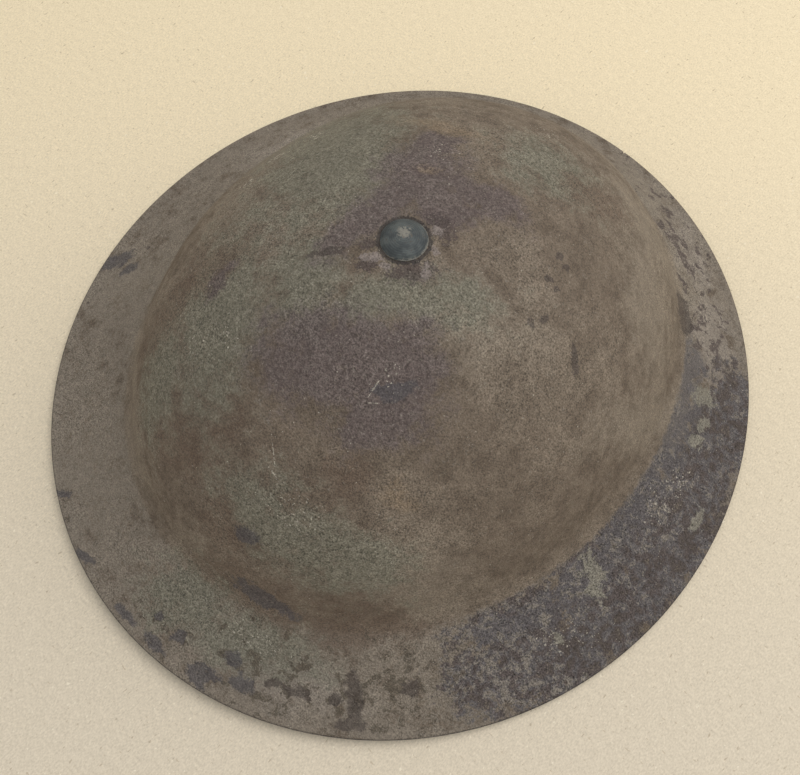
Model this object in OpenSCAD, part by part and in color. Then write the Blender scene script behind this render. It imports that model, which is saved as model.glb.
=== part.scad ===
// Steel brimmed helmet with its liner, chinstrap bails and chinstrap.
// Millimetres, +Z up, front is -Y. Origin: middle of the rim, on the table it rests on.

/* [Shell] */
// Length over the rim, front to back
rim_len = 310; // [300:1:320]
// Width over the rim
rim_wid = 293; // [284:1:302]
// Lift of the rim at front and back above its sides
rim_lift = 4; // [0:0.5:8]
// Height of the crown above the table
crown_h = 112; // [104:1:120]
// Length of the pressed bowl at table height
bowl_len = 251; // [243:1:258]
// Width of the pressed bowl at table height
bowl_wid = 212; // [205:1:218]
// How far the foot of the bowl sits behind the middle of the rim
bowl_back = 5; // [0:0.5:8]
// Thickness of the pressed steel
shell_t = 1; // [0.8:0.1:1.3]
// Height at which the bowl wall starts to turn out into the brim
wall_end_z = 36; // [32:0.5:40]
// Height at which that turn ends and the brim starts
foot_z = 20.5; // [18:0.5:23]
// How far the turn spreads outwards
foot_run = 11.5; // [9:0.5:14]
// How far the brim dips below a straight slope
brim_dish = 1.2; // [0:0.1:2]

/* [Rim edging] */
// Width of the folded strip on each face of the brim
edging_w = 4.4; // [3:0.2:6]
// Thickness of the strip
edging_t = 0.5; // [0.4:0.05:0.8]
// Clearance between strip and brim
edging_gap = 0.1; // [0.05:0.05:0.15]
// Gap between the strip's two ends at the back
edging_butt = 0.8; // [0.4:0.1:2]

/* [Crown rivet] */
// Diameter of the domed head
crown_head_d = 16; // [13:0.5:18]
// Height of the domed head
crown_head_h = 3.1; // [2:0.1:4]
// Diameter of the shank
crown_shank_d = 5; // [4:0.5:6]
// Diameter of the washer under the liner
washer_d = 18; // [14:0.5:22]
// Thickness of the washer
washer_t = 1; // [0.8:0.1:1.5]

/* [Crown padding] */
// Diameter of the felt disc under the shell
felt_d = 62; // [40:1:76]
// Thickness of the felt disc
felt_t = 1.2; // [0.8:0.1:1.8]
// Width of the two cradle straps
cradle_w = 20; // [14:1:26]
// Thickness of a cradle strap
cradle_t = 1; // [0.8:0.1:1.4]
// Outer diameter of the rubber crown ring
ring_d = 76; // [66:1:84]
// Inner diameter of the rubber crown ring
ring_hole_d = 30; // [26:1:36]
// Thickness of the rubber crown ring
ring_t = 8.2; // [6:0.2:10]

/* [Headband] */
// Height of the lower edge of the bands
band_z = 31; // [30:0.5:34]
// Height of the bands
band_h = 22; // [20:0.5:25]
// Thickness of the outer steel band
outer_band_t = 0.6; // [0.4:0.1:1]
// Thickness of the inner felt band
inner_band_t = 1.4; // [1:0.1:2]
// Thickness of the oilcloth sweatband
sweat_t = 1; // [0.8:0.1:1.4]
// Outer diameter of a rubber tube
tube_d = 12.7; // [11:0.1:14]
// Bore of a rubber tube
tube_bore = 7.5; // [6:0.1:8.5]
// Length of a rubber tube
tube_len = 19; // [15:0.5:19.5]
// Diameter of a small split rivet's head
rivet_head_d = 5; // [4:0.2:6]
// Diameter of a small split rivet's shank
rivet_shank_d = 2; // [1.6:0.1:2.4]
// Height of a small split rivet's head
rivet_head_h = 0.4; // [0.3:0.05:0.5]
// How far the cradle straps lap down inside the outer band
cradle_lap = 6; // [5:0.5:8]
// Thickness of the netting
net_t = 1.4; // [1:0.1:2]
// Radius of the gathered opening at the top of the netting
net_hole_r = 11; // [8:0.5:14]

/* [Chinstrap lugs] */
// Distance of a lug rivet outside the foot of the bowl
lug_out = 3; // [2.5:0.25:5]
// Width of a lug
lug_w = 9; // [7:0.5:12]
// Thickness of the lug's strip
lug_t = 1; // [0.8:0.1:1.2]
// Distance from the rivet to the rolled eye, along the brim
lug_arm = 6; // [5.5:0.5:8]
// Diameter of the lug rivet's head
lug_head_d = 6.8; // [6:0.2:8]
// Diameter of the lug rivet's shank
lug_shank_d = 3; // [2.5:0.1:3.5]

/* [Bails] */
// Diameter of the bail wire
wire_d = 2.6; // [2:0.1:3]
// Distance between the two long sides of a bail
bail_reach = 12; // [11:0.5:14]
// Radial clearance of the wire in the lug's eye
eye_clear = 0.3; // [0.2:0.05:0.4]

/* [Chinstrap] */
// Width of the leather strap
strap_w = 16; // [13:0.5:18]
// Thickness of one layer of leather
strap_t = 1.8; // [1.4:0.1:2.2]
// Length of the folded end from the bail's bar
fold_len = 11; // [10:0.5:13]
// Radius of the strap's turn beside the fold
temple_r = 8; // [7:0.5:10]
// Straight length beside each cheek
cheek_len = 60; // [56:1:64]
// Radius of the strap's turn at the jaw
jaw_r = 50; // [40:1:55]
// Length over which the leather twists into its curve
twist_len = 26; // [18:1:32]
// Length of the strap's free end, doubled back from the left bail
tail_len = 88; // [80:1:92]
// Gap left under the strap when the helmet stands on a table
strap_rest_gap = 0.6; // [0.4:0.1:1]
// How far down the strap and both bails can drop
strap_drop = 8; // [5:0.5:8.5]
// Place of the buckle, measured down the cheek from the bail
buckle_at = 24; // [22:1:28]
// Length of the buckle along the strap
buckle_len = 12; // [10:0.5:14]
// Diameter of the buckle's wire
buckle_wire = 2; // [1.6:0.1:2.2]
// Place of the keeper, measured down the cheek from the bail
keeper_at = 54; // [50:1:56]
// Length of the leather keeper along the strap
keeper_len = 8; // [6:0.5:9]
// Thickness of the keeper's leather
keeper_t = 1.2; // [1:0.1:1.6]

/* [Hidden] */
$fn = 48;

// Number of rubber tubes around the headband
tube_n = 12;
// Steps around the helmet, in the shell and in the liner
around = 64;
around_liner = 48;
// Steps down the bowl, through the turn and across the brim
bowl_steps = 14;
turn_steps = 6;
brim_steps = 4;
// Clearance between pieces that lie on each other
touch = 0.1;
// Clearance of a flat lug under the curved brim
seat = 0.3;
// Clearance between pieces that move past each other
slip = 0.3;

// The bowl is half of an egg: semi-axes across, along and up
bowl_b = bowl_wid / 2;
bowl_a = bowl_len / 2;

// Drift of the bowl's middle towards the back, none at the crown and all at the table
function drift(z) = bowl_back * (1 - z / crown_h);
// Share of the bowl's width that is left at height z, for a skin at depth d
function waist(z, d = 0) = sqrt(1 - pow(z / (crown_h - d), 2));
function unit(v) = v / norm(v);
function mix(p, q, u) = p + (q - p) * u;

// Shell skin. A station is [half width, half length, height, drift, lift at front and back].
foot_b = bowl_b * waist(wall_end_z) + foot_run;
foot_a = bowl_a * waist(wall_end_z) + foot_run;
brim_run = rim_wid / 2 - foot_b;
// The strip stands this far off the shell on both faces and at its edge, where it is rounded
edging_out = edging_gap + edging_t;
edging_round = [0.7, 0.65];
brim_slope = atan2(foot_z - shell_t - edging_out, brim_run);
edge_slope = atan(tan(brim_slope) - 4 * brim_dish * (1 - 1 / brim_steps) / brim_run);
edge_out = edging_out * (edging_round[0] * cos(edge_slope) + edging_round[1] * sin(edge_slope));
edge_b = rim_wid / 2 - edge_out;
edge_a = rim_len / 2 - edge_out;
edge_z = (shell_t + edging_out) * cos(edge_slope);

function bowl_station(phi) = [
    bowl_b * sin(phi), bowl_a * sin(phi), crown_h * cos(phi), drift(crown_h * cos(phi)), 0
];
function hole_station(r) = [r, r, crown_h * sqrt(1 - pow(r / bowl_b, 2)), 0, 0];
// The turn is a curve that leaves along the wall and arrives along the brim
wall_station = bowl_station(acos(wall_end_z / crown_h));
foot_station = [foot_b, foot_a, foot_z, drift(foot_z), 0];
edge_station = [edge_b, edge_a, edge_z, 0, rim_lift];
wall_slope = crown_h * crown_h * wall_station[0] / (bowl_b * bowl_b * wall_end_z);
turn_u = (foot_z + tan(brim_slope) * foot_run - wall_end_z) / (tan(brim_slope) - wall_slope);
turn_station = [
    wall_station[0] + turn_u, wall_station[1] + turn_u, wall_end_z - wall_slope * turn_u,
    drift(foot_z), 0
];
function turn(u) =
    mix(mix(wall_station, turn_station, u), mix(turn_station, foot_station, u), u);
function brim(u) =
    mix(foot_station, edge_station, u) - [0, 0, 4 * brim_dish * u * (1 - u), 0, 0];

phi_hole = asin((crown_shank_d / 2 + touch) / bowl_b) * 2.5;
phi_wall = acos(wall_end_z / crown_h);
stations = concat(
    [hole_station(crown_shank_d / 2 + touch)],
    [for (i = [0 : bowl_steps]) bowl_station(mix(phi_hole, phi_wall, i / bowl_steps))],
    [for (i = [1 : turn_steps]) turn(i / turn_steps)],
    [for (i = [1 : brim_steps]) brim(i / brim_steps)]
);
last = len(stations) - 1;

function place(s, t) = [s[0] * cos(t), s[1] * sin(t) + s[3], s[2] + s[4] * pow(sin(t), 2)];
function along(i, t) = place(stations[min(i + 1, last)], t) - place(stations[max(i - 1, 0)], t);
function across(s, t) = place(s, t + 1) - place(s, t - 1);
// Point of the shell's skin, d under its outer face
function skin(i, t, d) =
    place(stations[i], t) - d * unit(cross(along(i, t), across(stations[i], t)));
// Point at height z on the bowl, d under its outer face
function bowl_point(z, t, d) = [
    (bowl_b - d) * waist(z, d) * cos(t), (bowl_a - d) * waist(z, d) * sin(t) + drift(z), z
];

// Closed solid from one loop of points for each step around
module ring_solid(loops) {
    n = len(loops);
    k = len(loops[0]);
    polyhedron(
        points = [for (loop = loops) for (p = loop) p],
        faces = [
            for (j = [0 : n - 1]) for (i = [0 : k - 1])
                let (a = j * k, b = ((j + 1) % n) * k, e = (i + 1) % k)
                for (face = [[a + i, a + e, b + i], [a + e, b + e, b + i]]) face
        ],
        convexity = 6
    );
}

function fan(k) = [for (i = [1 : k - 2]) [0, i, i + 1]];

// Closed solid from one loop of points for each step along, with the ends cut into triangles.
// Both faces of a flat loop are cut along the same diagonal, so a twisted strap keeps its thickness.
module run_solid(loops, cap) {
    n = len(loops);
    k = len(loops[0]);
    half = k / 2;
    polyhedron(
        points = [for (loop = loops) for (p = loop) p],
        faces = concat(
            [
                for (j = [0 : n - 2]) for (i = [0 : k - 1])
                    let (a = j * k, b = (j + 1) * k, e = (i + 1) % k)
                    for (face = i < half
                        ? [[a + i, a + e, b + i], [a + e, b + e, b + i]]
                        : [[a + i, a + e, b + e], [a + i, b + e, b + i]]) face
            ],
            [for (f = cap) [f[0], f[2], f[1]]],
            [for (f = cap) f + (n - 1) * k * [1, 1, 1]]
        ),
        convexity = 6
    );
}

// Turns +Z to point along v
module aim(v) {
    d = unit(v);
    rotate([0, acos(d[2]), atan2(d[1], d[0])]) children();
}

// Split rivet: domed head above z 0, shank down to the depth of what it holds, spread tail
module split_rivet(head_d, head_h, shank_d, depth, tail_d, tail_h) {
    head_r = (pow(head_d / 2, 2) + pow(head_h, 2)) / (2 * head_h);
    difference() {
        translate([0, 0, head_h - head_r]) sphere(r = head_r);
        translate([0, 0, -2 * head_r]) cube(4 * head_r * [1, 1, 1], center = true);
    }
    translate([0, 0, -depth - tail_h / 2]) cylinder(d = shank_d, h = depth + tail_h / 2 + head_h / 2);
    translate([0, 0, -depth - tail_h]) cylinder(d = tail_d, h = tail_h);
}

// Shell and edging

module shell() {
    color("#6b5f55") difference() {
        ring_solid([
            for (j = [0 : around - 1]) let (t = 360 * j / around) concat(
                [for (i = [last : -1 : 0]) skin(i, t, 0)],
                [for (i = [0 : last]) skin(i, t, shell_t)]
            )
        ]);
        for (side = [1, -1]) lug_frame(side) cylinder(d = lug_shank_d + 2 * touch, h = 8, center = true);
    }
}

// Folded strip: along the brim's top, round its edge and back underneath
module rim_edging() {
    butt = edging_butt / (rim_len / 2) * 180 / PI;
    steps = around;
    color("#6a6463") run_solid([
        for (j = [0 : steps]) edging_loop(90 + butt / 2 + (360 - butt) * j / steps)
    ], [
        [0, 1, 10], [1, 9, 10], [1, 2, 9], [2, 8, 9], [2, 7, 8], [2, 6, 7], [2, 5, 6], [2, 3, 5], [3, 4, 5]
    ]);
}

function edging_loop(t) =
    let (
        e = skin(last, t, 0),
        out = unit(along(last, t)),
        down = unit(cross(across(edge_station, t), along(last, t))),
        top = -edging_out,
        low = shell_t + edging_out,
        nose = edging_out * edging_round[0],
        cheek = edging_out * (1 - edging_round[1])
    )
    [
        for (q = [
            [-edging_w, top + edging_t], [edging_gap, top + edging_t],
            [edging_gap, low - edging_t], [-edging_w, low - edging_t],
            [-edging_w, low], [0, low], [nose, low - cheek], [edging_out, shell_t / 2],
            [nose, top + cheek], [0, top], [-edging_w, top]
        ]) e + q[0] * out + q[1] * down
    ];

// Crown rivet and crown padding

// Height of the bowl over (x, y), d under its outer face
function bowl_over(x, y, d, n = 4) =
    n == 0 ? crown_h - d
    : let (back = drift(bowl_over(x, y, d, n - 1)))
        (crown_h - d) * sqrt(1 - pow(x / (bowl_b - d), 2) - pow((y - back) / (bowl_a - d), 2));
// How far the bowl has dropped at distance r from the crown
function crown_drop(r) = r * r * crown_h / (2 * bowl_b * bowl_b);

felt_d0 = shell_t + slip;
long_d0 = felt_d0 + felt_t + slip;
cross_d0 = long_d0 + cradle_t + touch;
ring_d0 = cross_d0 + cradle_t + slip;
washer_z = crown_h - cross_d0 - cradle_t - crown_drop(washer_d / 2) - slip;

module crown_rivet() {
    r = crown_head_d / 2;
    seat = crown_drop(r) - touch;
    ball = (r * r + crown_head_h * crown_head_h) / (2 * crown_head_h);
    reach = asin(r / ball);
    color("#56626a") rotate_extrude() polygon(concat(
        [[0, crown_h + touch], [crown_shank_d / 2, crown_h + touch], [r, crown_h - seat]],
        [for (i = [0 : 11]) let (a = reach * (1 - i / 11))
            [ball * sin(a), crown_h - seat + 0.4 + crown_head_h - ball + ball * cos(a)]]
    ));
    color("#56626a") translate([0, 0, washer_z - washer_t]) {
        cylinder(d = crown_shank_d, h = crown_h + 0.5 - washer_z + washer_t);
        translate([0, 0, -1.8]) cylinder(d1 = crown_shank_d + 1, d2 = crown_shank_d + 4, h = 1.8);
    }
}

module crown_washer() {
    color("#8a8272") translate([0, 0, washer_z - washer_t]) difference() {
        cylinder(d = washer_d, h = washer_t);
        translate([0, 0, -1]) cylinder(d = crown_shank_d + 2 * touch, h = washer_t + 2);
    }
}

// Ring of the given section, points [distance from the crown's axis, depth], laid in the bowl
module crown_lining(section) {
    ring_solid([
        for (j = [0 : around_liner - 1]) let (t = 360 * j / around_liner)
            [for (q = section)
                [q[0] * cos(t), q[0] * sin(t), bowl_over(q[0] * cos(t), q[0] * sin(t), q[1])]]
    ]);
}

module crown_felt() {
    r0 = crown_shank_d / 2 + 2 * touch;
    color("#5d5a50") crown_lining(concat(
        [for (i = [3 : -1 : 0]) [mix(r0, felt_d / 2, i / 3), felt_d0]],
        [for (i = [0 : 3]) [mix(r0, felt_d / 2, i / 3), felt_d0 + felt_t]]
    ));
}

module crown_ring() {
    r = ring_t * 0.4;
    color("#4a3a30") crown_lining([
        for (c = [[ring_hole_d / 2 + r, ring_d0 + ring_t - r, 90],
                  [ring_d / 2 - r, ring_d0 + ring_t - r, 0], [ring_d / 2 - r, ring_d0 + r, 270],
                  [ring_hole_d / 2 + r, ring_d0 + r, 180]])
            for (a = [90, 45, 0]) [c[0] + r * cos(c[2] + a), c[1] + r * sin(c[2] + a)]
    ]);
}

// Depth of the cross strap: under the long one at the crown, as deep as it further out
function cross_depth(x) =
    let (u = min(1, max(0, 2 - abs(x) / cradle_w))) mix(long_d0, cross_d0, u * u * (3 - 2 * u));
// Section of a strap over the crown: phi from the crown, w to the side of the strap's middle
function long_point(phi, w, d) =
    let (k = sqrt(1 - pow(w / (bowl_b - d), 2)), z = (crown_h - d) * k * cos(phi))
        [-w, (bowl_a - d) * k * sin(phi) + drift(z), z];
function cross_point(phi, w, d) =
    let (k = sqrt(1 - pow(w / (bowl_a - d), 2)), z = (crown_h - d) * k * cos(phi))
        [(bowl_b - d) * k * sin(phi), w + drift(z), z];
function strap_section(d) = [
    for (q = [[-1, 0], [0, 0], [1, 0], [1, 1], [0, 1], [-1, 1]])
        [q[0] * cradle_w / 2, d + q[1] * cradle_t]
];
strap_cap = [[0, 1, 5], [1, 4, 5], [1, 2, 4], [2, 3, 4]];
cradle_end = acos((band_z + band_h - cradle_lap) / (crown_h - long_d0));

module cradle_cut() {
    difference() {
        children();
        translate([0, 0, crown_h - 20]) cylinder(d = crown_shank_d + 2 * touch, h = 30);
        cradle_holes();
    }
}

module cradle_strap_long() {
    color("#6e624a") cradle_cut() run_solid([
        for (i = [-14 : 14])
            [for (q = strap_section(long_d0)) long_point(cradle_end * i / 14, q[0], q[1])]
    ], strap_cap);
}

module cradle_strap_cross() {
    color("#6e624a") cradle_cut() run_solid([
        for (i = [-14 : 14]) let (phi = cradle_end * i / 14)
            [for (q = strap_section(cross_depth(bowl_b * sin(phi)))) cross_point(phi, q[0], q[1])]
    ], strap_cap);
}

// Bands round the head. They are ruled between two ovals on the bowl's inner side.

band_d = shell_t + slip + touch;
function band_base(t, v) = mix(bowl_point(band_z, t, band_d), bowl_point(band_z + band_h, t, band_d), v);
function band_normal(t) =
    unit(cross(band_base(t + 1, 0.5) - band_base(t - 1, 0.5), band_base(t, 1) - band_base(t, 0)));
// Point at share v of the height, off inside the outer band's outer face, level with it
function band_point(t, v, off) =
    let (n = band_normal(t), flat = norm([n[0], n[1]]))
        band_base(t, v) - off * [n[0], n[1], 0] / (flat * flat);

tube_off = outer_band_t + touch + tube_d / 2;
inner_off = tube_off + tube_d / 2 + touch;
sweat_off = inner_off + inner_band_t + slip + rivet_head_h + touch;

// Band of the given section, points [share of the height, offset]
module band(section) {
    ring_solid([
        for (j = [0 : around_liner - 1]) let (t = 360 * j / around_liner)
            [for (q = section) band_point(t, q[0], q[1])]
    ]);
}

// Hole for a small rivet along v
module rivet_hole(v, deep) {
    aim(v) cylinder(d = rivet_shank_d + 2 * touch, h = deep, center = true, $fn = 24);
}

// Holes along the tubes' middles, through both bands
module tube_holes() {
    for (k = [1 : tube_n]) translate(band_point(tube_angle(k), 0.5, tube_off))
        rivet_hole(band_normal(tube_angle(k)), 2 * tube_d);
}

// Holes through the outer band and the ends of the cradle straps
cradle_share = 1 - cradle_lap / 2 / band_h;
module cradle_holes() {
    for (t = [0, 90, 180, 270]) translate(band_point(t, cradle_share, 0)) rivet_hole(band_normal(t), 14);
}

function tube_angle(k) = 360 * (k - 0.5) / tube_n;

module liner_outer_band() {
    color("#7d7668") difference() {
        band([[0, 0], [1, 0], [1, outer_band_t], [0, outer_band_t]]);
        tube_holes();
        cradle_holes();
    }
}

module liner_inner_band() {
    color("#77704f") difference() {
        band([
            [0, inner_off], [1, inner_off], [1, inner_off + inner_band_t], [0, inner_off + inner_band_t]
        ]);
        tube_holes();
    }
}

// Oilcloth inside the felt band, folded out under its lower edge
module sweatband() {
    color("#26231f") band([
        [-sweat_t / band_h, inner_off], [-sweat_t / band_h, sweat_off], [1, sweat_off],
        [1, sweat_off + sweat_t], [-2 * sweat_t / band_h, sweat_off + sweat_t],
        [-2 * sweat_t / band_h, inner_off]
    ]);
}

module rubber_tube(k) {
    t = tube_angle(k);
    color("#3b332c") difference() {
        translate(band_point(t, 0.5, tube_off)) aim(band_base(t, 1) - band_base(t, 0)) difference() {
            cylinder(d = tube_d, h = tube_len, center = true);
            cylinder(d = tube_bore, h = tube_len + 2, center = true);
        }
        translate(band_point(t, 0.5, tube_off)) rivet_hole(band_normal(t), tube_d + 2);
    }
}

rivet_tail_d = rivet_shank_d + 1.4;
// From a band's inner face to a tail that clears the round bore
tube_grip = tube_d / 2 - sqrt(pow(tube_bore, 2) - pow(rivet_tail_d, 2)) / 2 + 3 * touch;
// From a tube's middle to the seat of the inner rivet's flat head on the hollow of the felt
inner_seat = tube_d / 2 + touch + inner_band_t + slip;

module small_rivet(depth) {
    split_rivet(rivet_head_d, rivet_head_h, rivet_shank_d, depth, rivet_tail_d, 0.5, $fn = 24);
}

// Heads against the bowl, tails inside the tubes
module outer_band_rivets() {
    color("#8a8272") for (k = [1 : tube_n]) let (t = tube_angle(k))
        translate(band_point(t, 0.5, tube_off) + (tube_off + touch / 2) * band_normal(t))
            aim(band_normal(t)) small_rivet(outer_band_t + tube_grip);
}

// Heads under the oilcloth, tails inside the tubes
module inner_band_rivets() {
    color("#8a8272") for (k = [1 : tube_n]) let (t = tube_angle(k))
        translate(band_point(t, 0.5, tube_off) - inner_seat * band_normal(t))
            aim(-band_normal(t)) small_rivet(inner_band_t + slip + tube_grip);
}

// One rivet through each end of both cradle straps
module cradle_rivets() {
    color("#8a8272") for (t = [0, 90, 180, 270])
        translate(band_point(t, cradle_share, 0) + touch / 2 * band_normal(t)) aim(band_normal(t))
            small_rivet(long_d0 + cradle_t - band_d + 2 * slip);
}

// Netting: an egg-shaped cap from the inner band's top to the crown ring
net_h = crown_h - ring_d0 - ring_t - slip - 2 * touch;
net_z = band_z + band_h + slip;
net_off = inner_off + inner_band_t / 2;
net_share = sqrt(1 - pow(net_z / net_h, 2));
net_b = (band_point(0, 1, net_off)[0] + net_t / 2) / net_share;
net_a = (band_point(90, 1, net_off)[1] - drift(net_z) + net_t / 2) / net_share;

function net_point(phi, t, d) =
    let (z = (net_h - d) * cos(phi))
        [(net_b - d) * sin(phi) * cos(t), (net_a - d) * sin(phi) * sin(t) + drift(z), z];

module net_cap() {
    top = asin(net_hole_r / net_b);
    steps = 8;
    color("#8c8468") ring_solid([
        for (j = [0 : around_liner - 1]) let (t = 360 * j / around_liner) concat(
            [for (i = [steps : -1 : 0]) net_point(mix(top, acos(net_z / net_h), i / steps), t, 0)],
            [for (i = [0 : steps])
                net_point(mix(top, acos(net_z / (net_h - net_t)), i / steps), t, net_t)]
        )
    ]);
}

// Chinstrap lugs, under the brim just outside the foot of the bowl

lug_x = foot_b + lug_out;
lug_share = lug_out / (edge_b - foot_b);
lug_z = brim(lug_share)[2];
lug_slope = atan((foot_z - edge_z + 4 * brim_dish * (1 - 2 * lug_share)) / (edge_b - foot_b));
eye_r = wire_d / 2 + eye_clear;
// Height of the eye's middle over the brim's outer face, in the lug's own frame
eye_z = -shell_t - seat - lug_t - eye_r;
// Place of a lug's eye, which the bail swings in, and height of the strap's own axis
pivot_x = lug_x - lug_arm * cos(lug_slope) + eye_z * sin(lug_slope);
pivot_z = lug_z + lug_arm * sin(lug_slope) + eye_z * cos(lug_slope);

// On the brim's outer face at the lug, +X down the slope and +Z out of the brim
module lug_frame(side) {
    mirror([side < 0 ? 1 : 0, 0, 0]) translate([lug_x, 0, lug_z]) rotate([0, lug_slope, 0]) children();
}

// Strip rolled round the bail's wire, both leaves under the rivet
module lug(side) {
    top = -shell_t - seat;
    color("#5c554c") lug_frame(side) difference() {
        rotate([90, 0, 0]) linear_extrude(lug_w, center = true) difference() {
            union() {
                translate([-lug_arm, top - 2 * lug_t]) square([lug_arm + lug_w / 2, 2 * lug_t]);
                translate([-lug_arm, eye_z]) circle(r = eye_r + lug_t);
            }
            translate([-lug_arm, eye_z]) circle(r = eye_r);
        }
        cylinder(d = lug_shank_d + 2 * touch, h = 20, center = true);
    }
}

module lug_rivet(side) {
    color("#4f534f") lug_frame(side) translate([0, 0, touch])
        split_rivet(lug_head_d, lug_head_d * 0.22, lug_shank_d, shell_t + seat + 2 * lug_t + 2 * touch,
            lug_shank_d + 2, 0.9);
}

// Bails: wire loops with one long side in the lug's eye and the other in the strap's fold

bail_y = strap_w / 2 + wire_d + slip;
bail_bend = wire_d * 0.9;
bar_x = pivot_x - bail_reach;
// How far the bar moves outwards while the strap drops
bar_shift = bail_reach * (1 - cos(asin(strap_drop / bail_reach)));

module wire(from, to, d) {
    translate(from) aim(to - from) cylinder(d = d, h = norm(to - from));
}

module bail(side) {
    color("#5a564f") mirror([side < 0 ? 1 : 0, 0, 0]) translate([pivot_x, 0, pivot_z]) {
        for (x = [0, -bail_reach])
            wire([x, bail_bend - bail_y, 0], [x, bail_y - bail_bend, 0], wire_d);
        for (y = [-bail_y, bail_y]) wire([-bail_bend, y, 0], [bail_bend - bail_reach, y, 0], wire_d);
        for (c = [[-1, -1, 270], [-1, 1, 0], [1, 1, 90], [1, -1, 180]])
            translate([c[0] < 0 ? -bail_bend : bail_bend - bail_reach, c[1] * (bail_y - bail_bend), 0])
                rotate([0, 0, c[2]]) rotate_extrude(angle = 90) translate([bail_bend, 0])
                    circle(d = wire_d);
    }
}

// Leather fold round the bail's bar. The slot lets the bar slide outwards as the bail drops.
fold_r = wire_d / 2 + 1.5 * slip;

module strap_end(side) {
    color("#5b3a22") mirror([side < 0 ? 1 : 0, 0, 0]) translate([bar_x, 0, pivot_z]) difference() {
        rotate([90, 0, 0]) linear_extrude(strap_w, center = true) difference() {
            union() {
                for (x = [0, bar_shift]) translate([x, 0]) circle(r = fold_r + strap_t);
                translate([0, -fold_r - strap_t]) square([bar_shift, 2 * (fold_r + strap_t)]);
                polygon([
                    [0, fold_r + strap_t], [-fold_len / 2, strap_t], [-fold_len, strap_t],
                    [-fold_len, -strap_t], [-fold_len / 2, -strap_t], [0, -fold_r - strap_t]
                ]);
            }
            for (x = [0, bar_shift]) translate([x, 0]) circle(r = fold_r);
            translate([0, -fold_r]) square([bar_shift, 2 * fold_r]);
        }
        if (side < 0) translate([fold_rivet_x, 0, 0])
            cylinder(d = rivet_shank_d + 2 * touch, h = 20, center = true);
    }
}

fold_rivet_x = -fold_len * 0.72;

module strap_rivet_right() {
    color("#8a8272") mirror([1, 0, 0]) translate([bar_x + fold_rivet_x, 0, pivot_z - strap_t - touch / 2])
        rotate([180, 0, 0]) split_rivet(rivet_head_d, 1.2, rivet_shank_d, 2 * strap_t + touch,
            rivet_shank_d + 1.8, 0.5);
}

// Chinstrap: a loop in its own plane, from fold to fold. The plane turns on the line through
// both folds, and is tilted so that the loop lies back inside the rim.

strap_x = bar_x - fold_len - slip;
inset = temple_r / 2;
cheek_x = strap_x - inset - temple_r;
loop_depth = temple_r + cheek_len + jaw_r;
tilt = asin((pivot_z - strap_w / 2 - strap_rest_gap) / loop_depth);
run_1 = inset;
run_2 = run_1 + temple_r * PI / 2;
run_3 = run_2 + cheek_len;
run_4 = run_3 + jaw_r * PI / 2;
half_run = run_4 + cheek_x - jaw_r;

// [x, distance from the axis, heading angle from -x] at run r on the left half of the loop
function half_path(r) =
    r < run_1 ? [strap_x - r, 0, 0]
    : r < run_2 ? let (a = (r - run_1) / temple_r * 180 / PI)
        [strap_x - inset - temple_r * sin(a), temple_r * (1 - cos(a)), a]
    : r < run_3 ? [cheek_x, temple_r + r - run_2, 90]
    : r < run_4 ? let (a = (r - run_3) / jaw_r * 180 / PI)
        [cheek_x - jaw_r * (1 - cos(a)), temple_r + cheek_len + jaw_r * sin(a), 90 - a]
    : [cheek_x - jaw_r - (r - run_4), loop_depth, 0];

plane_out = [0, cos(tilt), -sin(tilt)];
plane_up = [0, sin(tilt), cos(tilt)];
// Place in space of a point of the loop's plane
function in_plane(x, out, up = 0) = [x, 0, pivot_z] + out * plane_out + up * plane_up;
function ease(u) = u * u * (3 - 2 * u);

// Section of one layer of leather: off towards the loop's outside, w its width
function strap_loop(r, off, w) =
    let (
        side = r < half_run ? 1 : -1,
        near = r < half_run ? r : 2 * half_run - r,
        q = half_path(near),
        twist = -90 * (1 - ease(min(1, near / twist_len))),
        flat = [side * sin(q[2]), 0, 0] + cos(q[2]) * plane_out,
        face = flat * cos(twist) + plane_up * sin(twist),
        edge = plane_up * cos(twist) - flat * sin(twist),
        middle = in_plane(side * q[0], q[1]) + off * face
    )
    [for (c = [[-1, -1], [-1, 1], [1, 1], [1, -1]])
        middle + c[0] * w / 2 * edge + c[1] * strap_t / 2 * face];

layer = (strap_t + touch) / 2;
tip_run = tail_len - strap_w / 2;
// Runs of the sections on the left half: through the twist, down the cheek and round the jaw
half_runs = concat(
    [for (i = [0 : 14]) twist_len * i / 14],
    [tip_run],
    [for (i = [1 : 12]) mix(max(run_3, tip_run), run_4, i / 12)]
);

module chinstrap() {
    runs = concat(half_runs, [for (i = [len(half_runs) - 1 : -1 : 0]) 2 * half_run - half_runs[i]]);
    color("#5b3a22") run_solid([for (r = runs) strap_loop(r, -layer, strap_w)], fan(4));
}

// Free end of the strap, doubled back over its outside, with a rounded tip
module strap_tail() {
    color("#5b3a22") run_solid(concat(
        [for (i = [0 : 15]) strap_loop(half_runs[i], layer, strap_w)],
        [for (a = [30, 50, 70, 85])
            strap_loop(tip_run + strap_w / 2 * sin(a), layer, strap_w * cos(a))]
    ), fan(4));
}

// On the left cheek, +X out of the loop, +Y down the strap and +Z across it
module cheek_frame(at) {
    translate(in_plane(cheek_x, at)) rotate([-tilt, 0, 0]) children();
}

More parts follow.
